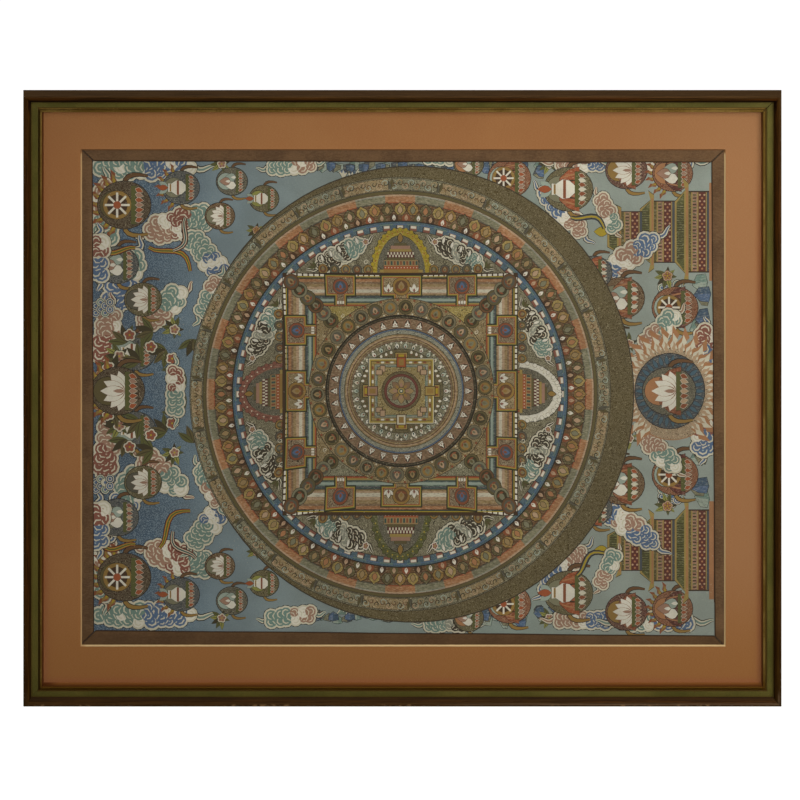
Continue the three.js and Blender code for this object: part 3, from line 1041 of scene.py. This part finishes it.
# The land and sky round the mandala. Everything there stands up towards the left, as the cloth is turned
def pavilion(x, y, size):
    def at(outline):
        return place(outline, x, y, skyward, size)
    bands = ((0, 0.05, "slate"), (0.05, 0.07, "gold"), (0.07, 0.225, "maroon"), (0.225, 0.25, "gold"),
             (0.25, 0.35, "pinkDust", "strokes"), (0.35, 0.375, "gold"), (0.375, 0.43, "olive", "strokes"))
    for half, low in ((1.0, 0), (0.76, 0.72), (0.5, 1.4)):
        high = low + 0.43
        inked(at(bar(half * 0.84, low, high)), "umber", 0.6)
        for start, stop, *look in bands:
            paint(at(bar(half * 0.82, low + start, low + stop)), *look)
        count = int(half * 24)
        for k in range(count):
            px = (k + 0.5 - count / 2) / count * half * 1.6
            for row in range(3):
                if (k + row) % 2:
                    paint(at(circle(0.024, 5, px, low + 0.1 + row * 0.047)), ("flesh", "peach")[row % 2])
            paint(at(bar(0.014, low + 0.27, low + 0.34, px)), ("umber", "leaf")[k % 2])
        eave = [(half, high), (half * 1.12, high + 0.12), (half * 0.86, high + 0.07), (half * 0.62, high + 0.29)]
        inked(at([(-a, b) for a, b in eave] + eave[::-1]), "gold", 0.7)
        roof = [(half * 0.82, high + 0.09), (half * 0.6, high + 0.25)]
        paint(at([(-a, b) for a, b in roof] + roof[::-1]), "leaf", "strokes")
        paint(at(bar(half * 0.92, high + 0.014, high + 0.05)), "peach")
        for k in range(count):
            paint(at(bar(0.008, high + 0.1, high + 0.24, (k + 0.5 - count / 2) / count * half * 1.15)), "oliveDark")
    inked(at(place(petal(0.3, 0.2), 0, 2.1)), "yellow", 0.5)
    paint(at(bar(1.02, -0.1, 0)), "peach")
    paint(at(bar(1.08, -0.16, -0.1)), "umber")


def rock(x, y, size, turn=skyward):
    # split stones: a dark face and a pale face on each, with a ridge between
    for dark, pale in (("mintDeep", "mint"), ("slate", "sage"), ("indigo", "cloudBlue")):
        spot = moved((x, y, turn, size), dice.uniform(-0.45, 0.45), dice.uniform(-0.1, 0.2))
        top = (dice.uniform(-0.15, 0.15), dice.uniform(0.42, 0.66))
        left, right = (-dice.uniform(0.34, 0.5), -0.1), (dice.uniform(0.34, 0.5), -0.1)
        shoulder = (left[0] * 0.9, top[1] * 0.45)
        stone = [left, shoulder, top, (right[0] * 0.85, top[1] * 0.6), right, (0, -0.2)]
        inkedStamp(spot, stone, dark, 0.6, "ink", "strokes")
        stamp(spot, [left, shoulder, top, (0.02, 0.1), (0, -0.16)], pale, "strokes")


def tree(x, y, size):
    spot = (x, y, skyward, size)
    trunk = place([(0, 0), (0.04, 0.3), (-0.03, 0.55)], *spot)
    paint(brushLine(trunk, size * 0.13, 0.6), "umber")
    for k in range(9):
        px, py = moved(spot, 0.34 * cos(k * 2.4) * (k + 2) / 9, 0.68 + 0.26 * sin(k * 2.4))[:2]
        inkedStamp((px, py, k, size * 0.19), scallop(1, 6, 0.25, 2), ("leaf", "olive", "oliveDark")[k % 3], 0.35)
        paint(circle(size * 0.035, 5, px, py), "yellowGreen")


def peak(spot):
    for lean, high, tint in ((-0.62, 0.72, "mintDeep"), (0.6, 0.8, "cloudBlue"), (0, 1.1, "indigo")):
        inkedStamp(spot, [(lean - 0.46, 0), (lean - 0.16, high * 0.62), (lean, high), (lean + 0.2, high * 0.55),
                          (lean + 0.46, 0)], "cream")
        stamp(spot, [(lean - 0.4, 0), (lean - 0.1, high * 0.5), (lean + 0.02, high * 0.16), (lean + 0.1, high * 0.46),
                     (lean + 0.38, 0)], tint, "strokes")
        stamp(spot, [(lean - 0.07, high * 0.82), (lean, high), (lean + 0.08, high * 0.8)], "yellow")


def waves(x, y, width, depth):
    for row in range(4):
        for k in range(int(width / 9)):
            crest = ((k + 0.5 * (row % 2) - width / 18) * 9, depth * (0.5 - row / 4))
            px, py = place([crest], x, y, skyward)[0]
            for radius, count, tint in ((6.2, 11, "ink"), (5.5, 11, "cream"),
                                        (4.5, 10, ("cloudBlue", "indigo", "mintDeep")[(k + row) % 3]),
                                        (2.9, 8, "cream"), (2.0, 7, "cloudBlue")):
                paint(circle(radius, count, px, py), tint)


def paintSky():
    warm = ("flesh", "rose", "yellow")
    for side in (-1, 1):
        # far corners, with a big burning halo
        cloudBank(-326, side * 284, 124, 20, 0, "mint blue")
        cloudBank(-376, side * 224, 84, 20, pi / 2, "mint pink")
        cloudBank(-280, side * 212, 92, 26, side * 0.25, "pink rose mint", 10)
        altar(-326, side * 236, 36, wheel, "umber", "olive", flames=9)
        altar(-262, side * 258, 25, vase, "slate", "sage", flames=7)
        # along the mandala's shoulder
        cloudBank(-246, side * 170, 74, 20, side * -0.9, "mint blue", 9)
        altar(-200, side * 266, 21, jewels, "dusk", "mint")
        altar(-216, side * 222, 20, lotus, "brown", "sage")
        altar(-160, side * 244, 20, vase, "olive", "yellowGreen")
        cloudBank(-140, side * 286, 62, 14, 0.1, "mint pink", 8.5)
        sprig(-228, side * 288, skyward - side * 0.5, 15)
        sprig(-184, side * 204, skyward + side * 0.6, 13, warm)
        # half way down
        cloudBank(-352, side * 140, 84, 26, 1.2, "blue mint")
        cloudBank(-304, side * 104, 72, 22, side * 0.7, "pink mint", 10)
        altar(-340, side * 160, 28, jewels, "slate", "sage", ("rose", "flesh"))
        altar(-310, side * 116, 25, lotus, "olive", "dusk")
        streamer(-268, side * 152, skyward - side * 0.7, 60)
        streamer(-384, side * 188, skyward + pi * 0.9, 46)
        streamer(-290, side * 178, skyward - side * 2.1, 44, ("ink", "rust", "cream", "tealDark"))
        cloudBank(-384, side * 170, 60, 16, pi / 2, "blue rose")
        cloudBank(-244, side * 120, 60, 14, side * 1.1, "mint pink", 9)
        # nearer the middle
        cloudBank(-374, side * 72, 74, 20, 1.45, "rose pink")
        waves(-376, side * 112, 26, 24)
        altar(-318, side * 50, 28, vase, "slate", "mint")
        sprig(-358, side * 44, skyward, 20)
        sprig(-288, side * 78, skyward - side * 0.8, 17)
        sprig(-384, side * 20, skyward + side, 14, warm)
        for k in range(7):
            spot = (-366 + k * 17, side * (24 + (k * 37 % 60)), skyward + side * (k - 3) * 0.5, 24)
            leafSpray(spot, 4, 0.6, ("leaf", "oliveDark", "olive"))
        for k in range(4):
            flower(-372 + k * 27, side * (30 + (k * 41 % 56)), 8.5, k, ("cream", "rose", "vermilion"))
    cloudBank(-287, 0, 64, 14, skyward, "mint rose", 8.5)
    altar(-334, 0, 36, lotus, "umber", "olive", flames=9)


def paintLand():
    for side in (-1, 1):
        towardsMiddle = 0 if side < 0 else pi
        peak((-62, side * 283, towardsMiddle, 19))
        peak((20, side * 287, towardsMiddle, 17))
        for k in range(12):
            rock(-105 + k * 21, side * (289 + dice.uniform(-3, 3)), 15, towardsMiddle)
        for k in range(5):
            tree(95 + k * 22, side * (266 - k * 11), 25)
            rock(112 + k * 22, side * (290 - k * 3), 18)
        cloudBank(60, side * 296, 66, 10, 0, "mint stone", 8, "mist")
        altar(100, side * 288, 20, jewels, "olive", "peach")
        altar(158, side * 270, 29, wheel, "rust", "mint", drape="rust")
        cloudBank(206, side * 226, 78, 16, side * -0.8, "blue pink", 9)
        sprig(188, side * 288, skyward, 15)
        # along the border, to the corner
        cloudBank(236, side * 290, 84, 14, 0, "pink blue", 9)
        altar(236, side * 256, 33, vase, "olive", "sage", ("rust", "cream"), drape="vermilion")
        cloudBank(322, side * 292, 104, 16, 0, "mint blue", 10)
        altar(306, side * 280, 28, lotus, "maroon", "ochre", drape="rust")
        altar(364, side * 276, 27, jewels, "rust", "peach", flames=9, drape="maroon")
        # pavilion, with a long cloud before it
        pavilion(391, side * 202, 61)
        cloudBank(286, side * 168, 96, 18, side * 0.62, "blue pink blue", 10)
        cloudBank(262, side * 226, 50, 14, side * -1.1, "pink mint", 8.5)
        streamer(258, side * 206, skyward - side * 0.5, 44, ("ink", "slate", "yellow"))
        altar(302, side * 118, 31, jewels, "brown", "sage", ("vermilion", "cream"), 5, "rust")
        altar(262, side * 150, 25, vase, "slate", "peach", ("rust", "cream"), drape="vermilion")
        waves(344, side * 128, 30, 26)
        rock(386, side * 128, 26)
        rock(384, side * 84, 26)
        altar(370, side * 106, 31, wheel, "rust", "mint", drape="maroon")
        cloudBank(328, side * 76, 66, 16, side * 0.8, "pink mint", 9)
        tree(290, side * 80, 24)
        sprig(338, side * 146, skyward + side * 0.7, 17, ("flesh", "rose", "yellow"))
        sprig(290, side * 60, skyward - side * 0.4, 15)
        cloudBank(384, side * 54, 56, 20, 1.5, "blue rose", 10)
    # the great halo in the middle, with a lotus in it
    inked(circle(58, 40, 344, 0, 1.06), "flesh", 1.0, "peach", "boldScrolls")
    for i in range(26):
        angle = skyward + (i - 12.5) * 0.2
        flame((342 + 44 * cos(angle), 50 * sin(angle), angle - pi / 2 + 0.25, 34), ("peach", "cream", "flesh"))
    inked(circle(44, 40, 341, 0, 1.08), "slate", 0.9, "ink", "strokes")
    for i, angle in ringOf(30):
        for reach, tint in ((30, "ringTeal"), (19, "dusk"), (11, "slate")):
            root = (341 + reach * cos(angle), reach * 1.08 * sin(angle))
            inked(place(petal(14, 5, 4), *root, angle - pi / 2), tint, 0.5)
    altar(366, 0, 36, lotus, "dusk", "peach", ("rust", "flesh"), drape="rust")


def paintSurround():
    dice.seed(5)
    paintLand()
    paintSky()


# The painted cloth, in millimetres as in the frame: the mandala's middle, the corners of what shows,
# the margin under the borders, and depths forward from the back of the frame
cloth = {"middle": (-1.4, 6.8), "stretch": 1.0306, "margin": 7, "back": 5.0, "front": 6.4, "ripple": 0.25,
         "corners": ((-391.9, -307.9), (398, -314.8), (393.8, 307.8), (-393.6, 309.5)),
         "ripplePitch": (804, 636), "bakeSize": (812, 646), "halfDepth": 18, "flat": (0.8027, 0.634),
         "area": 0.5089, "grid": 12, "jitter": 3, "gridAcross": range(-34, 35), "gridUp": range(-27, 27)}
skyTints = ((-400, (62, 80, 96)), (-320, (72, 90, 104)), (-240, (112, 126, 128)), (-120, (122, 132, 126)),
            (120, (124, 134, 122)), (250, (136, 143, 130)), (420, (140, 147, 134)))


def skyAt(x):
    for (fromX, fromTint), (toX, toTint) in zip(skyTints, skyTints[1:]):
        if x <= toX:
            t = max(0, (x - fromX) / (toX - fromX))
            return colour(*[a + (b - a) * t for a, b in zip(fromTint, toTint)])
    return colour(*skyTints[-1][1])


def signedArea(outline):
    return sum(ax * by - bx * ay for (ax, ay), (bx, by) in zip(outline, outline[1:] + outline[:1])) / 2


def clothRim():
    rim = []
    for (x, z), (sideX, sideZ) in zip(cloth["corners"], ((-1, -1), (1, -1), (1, 1), (-1, 1))):
        rim.append((x + sideX * cloth["margin"] - cloth["middle"][0],
                    (z + sideZ * cloth["margin"] - cloth["middle"][1]) / cloth["stretch"]))
    return rim


def cutAlongOutlines(shapes, spots):
    # cuts the cloth along every outline, and finds which shape lies on top of each triangle
    corners, faces = [], []
    for shape in shapes:
        outline = shape[0]
        ordered = outline if signedArea(outline) > 0 else outline[::-1]
        faces.append(list(range(len(corners), len(corners) + len(ordered))))
        corners.extend(Vector(point) for point in ordered)
    firstSpot = len(corners)
    corners.extend(Vector(spot) for spot in spots)
    cut = delaunay_2d_cdt(corners, [], faces, 1, 0.03, True)
    points, triangles, fromCorner, owners = cut[0], cut[2], cut[3], cut[5]
    # an outline that has crossed itself would flood the cloth, so it isn't painted
    reach = [0] * len(shapes)
    for (a, b, c), owner in zip(triangles, owners):
        size = (points[b] - points[a]).cross(points[c] - points[a]) / 2
        for i in owner:
            reach[i] += size
    sound = [reach[i] < 2 * abs(signedArea(shape[0])) + 4 for i, shape in enumerate(shapes)]
    sides = {}
    for (a, b, c), owner in zip(triangles, owners):
        if 0 in owner:
            sides[a, b] = sides[b, c] = sides[c, a] = shapes[max(i for i in owner if sound[i])][1:]
    loose = {i for i, froms in enumerate(fromCorner) if any(corner >= firstSpot for corner in froms)}
    return points, sides, loose


def keepSeams(points, sides):
    # only the lines where the paint changes stay, and a point in the middle of a straight line goes
    kept = {pair: look for pair, look in sides.items() if sides.get(pair[::-1]) != look}
    near = {}
    for a, b in kept:
        near.setdefault(a, set()).add(b)
        near.setdefault(b, set()).add(a)
    for point in list(near):
        if len(near[point]) != 2:
            continue
        a, b = near[point]
        run = points[b] - points[a]
        off = points[point] - points[a]
        if b in near[a] or abs(run.cross(off)) > 0.02 * run.length or not 0 < off.dot(run) < run.dot(run):
            continue
        for start, end in ((a, b), (b, a)):
            if (start, point) in kept:
                kept[start, end] = kept.pop((start, point))
            kept.pop((point, end), None)
            near[start].discard(point)
            near[start].add(end)
        del near[point]
    return kept, near


def fillBetween(looks, triangles):
    # paint spreads from the seams over all the triangles that no seam parts from them
    laid, fronts, owner = {}, [], {}
    for i, (a, b, c) in enumerate(triangles):
        for pair in ((a, b), (b, c), (c, a)):
            owner[pair] = i
            if looks.get(pair) and i not in laid:
                laid[i] = looks[pair]
                fronts.append(i)
    while fronts:
        i = fronts.pop()
        a, b, c = triangles[i]
        for pair in ((b, a), (c, b), (a, c)):
            if pair in owner and pair not in looks and owner[pair] not in laid:
                laid[owner[pair]] = laid[i]
                fronts.append(owner[pair])
    return laid


def paintedTriangles(shapes):
    dice.seed(3)
    pitch, jitter = cloth["grid"], cloth["jitter"]
    spots = [(x * pitch + dice.uniform(-jitter, jitter), y * pitch + dice.uniform(-jitter, jitter))
             for x in cloth["gridAcross"] for y in cloth["gridUp"]]
    points, sides, loose = cutAlongOutlines(shapes, spots)
    print("outlines cut:", len(points), "points")
    kept, near = keepSeams(points, sides)
    used = sorted(set(near) | (loose & {a for a, b in sides}))
    order = {point: i for i, point in enumerate(used)}
    seams = [pair for pair in kept if pair[0] < pair[1] or pair[::-1] not in kept]
    lines = [(order[a], order[b]) for a, b in seams]
    cut = delaunay_2d_cdt([points[i] for i in used], lines, [], 0, 0.001, True)
    found, edges, triangles, fromSeam = cut[0], cut[1], cut[2], cut[4]
    looks = {}
    for (a, b), froms in zip(edges, fromSeam):
        if froms:
            start, end = seams[froms[0]]
            if (found[b] - found[a]).dot(points[end] - points[start]) < 0:
                a, b = b, a
            looks[a, b], looks[b, a] = kept.get((start, end)), kept.get((end, start))
    laid = fillBetween(looks, triangles)
    shown = sorted(laid)
    print("paint laid:", len(found), "points,", len(shown), "triangles")
    return found, [triangles[i] for i in shown], [laid[i] for i in shown]


def clothPoint(x, y, depth):
    # the ripple of the stretched cloth shows on its front alone
    sheetX, sheetZ = x + cloth["middle"][0], y * cloth["stretch"] + cloth["middle"][1]
    across, up = [value / pitch + 0.5 for value, pitch in zip((sheetX, sheetZ), cloth["ripplePitch"])]
    swell = sin(across * 11 + 0.8) * sin(up * 8 + 0.4) * cloth["ripple"] if depth == cloth["front"] else 0
    return (sheetX * mm, (cloth["halfDepth"] - depth - swell) * mm, sheetZ * mm)


def rimLoop(triangles):
    # the points round the edge, in order
    pairs = {pair for a, b, c in triangles for pair in ((a, b), (b, c), (c, a))}
    after = {a: b for a, b in pairs if (b, a) not in pairs}
    loop = [min(after)]
    while after[loop[-1]] != loop[0]:
        loop.append(after[loop[-1]])
    return loop


def paintedClothMaterial():
    material, shader, vector = newMaterial("mineral_paint_on_cotton", shine=0.2)
    body = source(vector.tree, "ShaderNodeAttribute", "Color", attribute_name="pigment")
    brush = source(vector.tree, "ShaderNodeAttribute", "Color", attribute_name="brush")
    dots, scrolls, strokes = placed(vector.tree, "ShaderNodeSeparateColor", {}, {0: brush})
    value, speck = effect("mottle", vector, Broad=16.0, Fine=520.0)
    threads, shade = effect("weave", vector, Threads=1400.0)
    # the sky is stippled with fine dark and pale points
    cells = placed(vector.tree, "ShaderNodeTexVoronoi", {}, {"Vector": vector, "Scale": 900})[0]
    grit = noise(vector, 520.0, 3.0, 0.7)
    stipple = cells * 0.55 + grit * 0.45
    # scrolling line work follows the contours of a soft noise
    lines = maths("SINE", noise(vector, 150.0, 1.0, 0.4, 1.6) * 62.0)
    # fine strokes shade the flat colours
    hatch = streaky(vector, (300.0, 300.0, 900.0), 3.0, 0.65)
    # rubbed places, and old varnish that is darkest over the palace and along the right
    rubbed = effect("wear", vector, Size=420.0, Amount=0.34)[0]
    fromMiddle = vectorMaths("LENGTH", vector, {}, 1)
    aged = maths("MAXIMUM", fade(fromMiddle, 0.24, 0.21), fade(axes(vector)["X"], 0.2, 0.28))
    for amount, tint in ((fade(stipple, 0.5, 0.38) * dots * 0.5, (34, 52, 66)),
                         (fade(stipple, 0.5, 0.62) * dots * 0.32, (168, 180, 178)),
                         (fade(lines, 0.45, 0.9) * scrolls * 0.6, (48, 40, 24)),
                         (fade(lines, -0.45, -0.9) * scrolls * 0.38, (180, 172, 140)),
                         (fade(hatch, 0.5, 0.66, 0.0, 0.45) * strokes, (46, 38, 26)),
                         (fade(hatch, 0.48, 0.34, 0.0, 0.3) * strokes, (190, 180, 150)),
                         (fade(value, 0.36, 0.62, 0.0, 0.22), (60, 54, 40)),
                         (fade(shade, 0.4, 0.8, 0.0, 0.1), (30, 26, 20)),
                         (rubbed * 0.4, (178, 168, 140)), (aged * 0.09, (38, 33, 22))):
        body = mixed(amount, body, colour(*tint))
    surface(shader, body, speck * 0.24 + 0.56, threads + grit * 0.6, 0.06 * mm)
    return material


def addPaintedCloth():
    paint(clothRim(), "sky", "dots")
    paintSurround()
    paintMandala()
    print("drawn:", len(painting), "shapes")
    points, triangles, looks = paintedTriangles(painting)
    rim = rimLoop(triangles)
    shift = {point: len(points) + i for i, point in enumerate(rim)}
    vertices = [clothPoint(x, y, cloth["front"]) for x, y in points]
    vertices += [clothPoint(*points[i], cloth["back"]) for i in rim]
    walls = [(shift[a], shift[b], b, a) for a, b in zip(rim, rim[1:] + rim[:1])]
    sheet = newObject("painted_cloth", vertices, triangles + walls + [tuple(shift[i] for i in reversed(rim))])
    mesh = sheet.data
    left, low = cloth["corners"][0][0] - cloth["margin"], cloth["corners"][1][1] - cloth["margin"]
    wide, high = cloth["bakeSize"]
    pigmentTints = {name: colour(*tint) for name, tint in pigments.items()}
    tints, masks, spread = [], [], []
    for i, face in enumerate(mesh.polygons):
        pigment, brush = looks[i] if i < len(looks) else ("cream", "plain")
        dotted, *others = brushes[brush]
        for corner in face.vertices:
            x, z = vertices[corner][0] / mm, vertices[corner][2] / mm
            tints.extend(skyAt(x) if pigment == "sky" else pigmentTints[pigment])
            # the stipple is dense at the left and thins out towards the mandala
            thinned = min(1, max(0.12, (-x - 230) / 70)) if pigment == "sky" else 1
            masks.extend((dotted * thinned, *others, 1))
            across, up = (x - left) / wide, (z - low) / high
            spread.extend((across, up * 0.97) if i < len(looks) else (across, 0.98 + up * 0.015))
    for name, values in (("pigment", tints), ("brush", masks)):
        mesh.attributes.new(name, "FLOAT_COLOR", "CORNER").data.foreach_set("color", values)
    mesh.uv_layers.new(name="OFBake").data.foreach_set("uv", spread)
    mesh.materials.append(paintedClothMaterial())
    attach(sheet, "root")
    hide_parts("thangka_cloth")


addPaintedCloth()
print("cloth painted")


# Four brown cloth strips, folded over at the seam and mitred, in millimetres as in the frame
# "over" is how far each strip's fold reaches in over the painting
strip = {"width": 24, "back": 7, "thick": 1, "rows": (18, 12, 7, 3), "steps": 96, "gap": 0.3, "wobble": 0.3,
         "puff": 0.25, "slope": 0.25, "seam": 1.5, "smooth": 50,
         "over": {"top": 2.1, "right": 1.4, "bottom": 2.4, "left": 0.4},
         "brown": colour(101, 75, 49), "dark": colour(78, 57, 37), "thread": colour(128, 100, 72),
         "fold": colour(40, 28, 18), "low": colour(74, 52, 28), "lint": colour(176, 152, 112)}


def paintingPoint(across, up, out):
    bottomLeft, bottomRight, topRight, topLeft = cloth["corners"]
    x, z = [(low0 + (low1 - low0) * across) * (1 - up) + (high0 + (high1 - high0) * across) * up
            for low0, low1, high0, high1 in zip(bottomLeft, bottomRight, topLeft, topRight)]
    return x + (across - 0.5) * 2 * out, z + (up - 0.5) * 2 * out


def stripMaterial():
    material, shader, vector = newMaterial("brown_border_cotton", shine=0.1, sheen=0.1)
    value, speck = effect("mottle", vector, Broad=22.0, Fine=460.0)
    threads, shade = effect("weave", vector, Threads=1150.0)
    body = mixed(fade(value, 0.36, 0.64), strip["brown"], strip["dark"])
    body = mixed(fade(shade, 0.45, 0.85, 0.0, 0.5), body, strip["thread"])
    body = mixed(fade(axes(vector)["Z"], -0.3, -0.312, 0.0, 0.5), body, strip["low"])
    body = mixed(effect("wear", vector, Size=420.0, Amount=0.2)[0] * 0.7, body, strip["lint"])
    # painted shade in the fold along the painting and in the mitre's gap
    fromFold, fromMitre = [source(vector.tree, "ShaderNodeAttribute", "Fac", attribute_name=name) + speck * 0.7
                           for name in ("from_fold", "from_mitre")]
    fold = fade(fromFold, strip["seam"] + 0.5, strip["seam"] - 0.3, 0.0, 0.85)
    body = mixed(maths("MAXIMUM", fold, fade(fromMitre, 1.5, 0.8, 0.0, 0.8)), body, strip["fold"])
    surface(shader, body, speck * 0.2 + 0.78, threads + speck, 0.12 * mm)
    return material


def stripSection():
    # out from the seam, and how high between the strip's back and its front
    fold = [(0.5 - 0.5 * sin(a), 0.5 + 0.5 * cos(a)) for a in [pi * k / 4 for k in range(5)]]
    return fold[::-1] + [(strip["width"], 0), (strip["width"], 1)] + [(out, 1) for out in strip["rows"]]


def pointNormalsOut(piece):
    if bpy.context.object and bpy.context.object.mode == "EDIT":
        bpy.ops.object.mode_set(mode="OBJECT")
    bpy.ops.object.select_all(action="DESELECT")
    piece.select_set(True)
    bpy.context.view_layer.objects.active = piece
    bpy.ops.object.mode_set(mode="EDIT")
    bpy.ops.mesh.select_all(action="SELECT")
    bpy.ops.mesh.normals_make_consistent(inside=False)
    bpy.ops.object.mode_set(mode="OBJECT")
    bpy.ops.object.shade_smooth_by_angle(angle=radians(strip["smooth"]))


def addStrip(side, start, end, edgePoint, material):
    section = stripSection()
    count, width, steps = len(section), strip["width"], strip["steps"]
    span = hypot(end[0] - start[0], end[1] - start[1])
    ahead = [(b - a) / span for a, b in zip(start, end)]
    points, fromFold, fromMitre = [], [], []
    for step in range(steps + 1):
        t = step / steps
        wobble = sin(t * 19 + span) * sin(t * pi) * strip["wobble"] - strip["over"][side]
        # each end is drawn back a little from its mitre
        shift = strip["gap"] / sqrt(2) * (1 - 2 * t)
        for out, high in section:
            x, z = edgePoint(t, wobble + out * (width - wobble) / width)
            fromFold.append(out)
            fromMitre.append(min(t, 1 - t) * (span + 2 * out) * sqrt(0.5))
            swell = strip["puff"] * high * sin(out / width * pi) * (0.5 + 0.5 * sin(t * 37 + out * 0.2))
            forward = strip["back"] + high * strip["thick"] + swell - strip["slope"] * high
            points.append(((x + ahead[0] * shift) * mm, (cloth["halfDepth"] - forward) * mm,
                           (z + ahead[1] * shift) * mm))
    faces = []
    for first in range(0, steps * count, count):
        for k in range(count):
            a, b = first + k, first + (k + 1) % count
            faces.append((a, b, b + count, a + count))
    faces += [tuple(range(count))[::-1], tuple(range(steps * count, (steps + 1) * count))]
    piece = newObject(side + "_border_strip", points, faces)
    for name, values in (("from_fold", fromFold), ("from_mitre", fromMitre)):
        piece.data.attributes.new(name, "FLOAT", "POINT").data.foreach_set("value", values)
    pointNormalsOut(piece)
    piece.data.materials.append(material)
    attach(piece, "root")
    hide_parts("border_" + side)
    (span + width * 2) * mm
    width * mm
    (span + width) * width * mm * mm


def addBorders():
    material = stripMaterial()
    for side, edgePoint in (("top", lambda t, out: paintingPoint(t, 1, out)),
                            ("right", lambda t, out: paintingPoint(1, 1 - t, out)),
                            ("bottom", lambda t, out: paintingPoint(1 - t, 0, out)),
                            ("left", lambda t, out: paintingPoint(0, t, out))):
        addStrip(side, edgePoint(0, 0), edgePoint(1, 0), edgePoint, material)


addBorders()
print("borders sewn on")
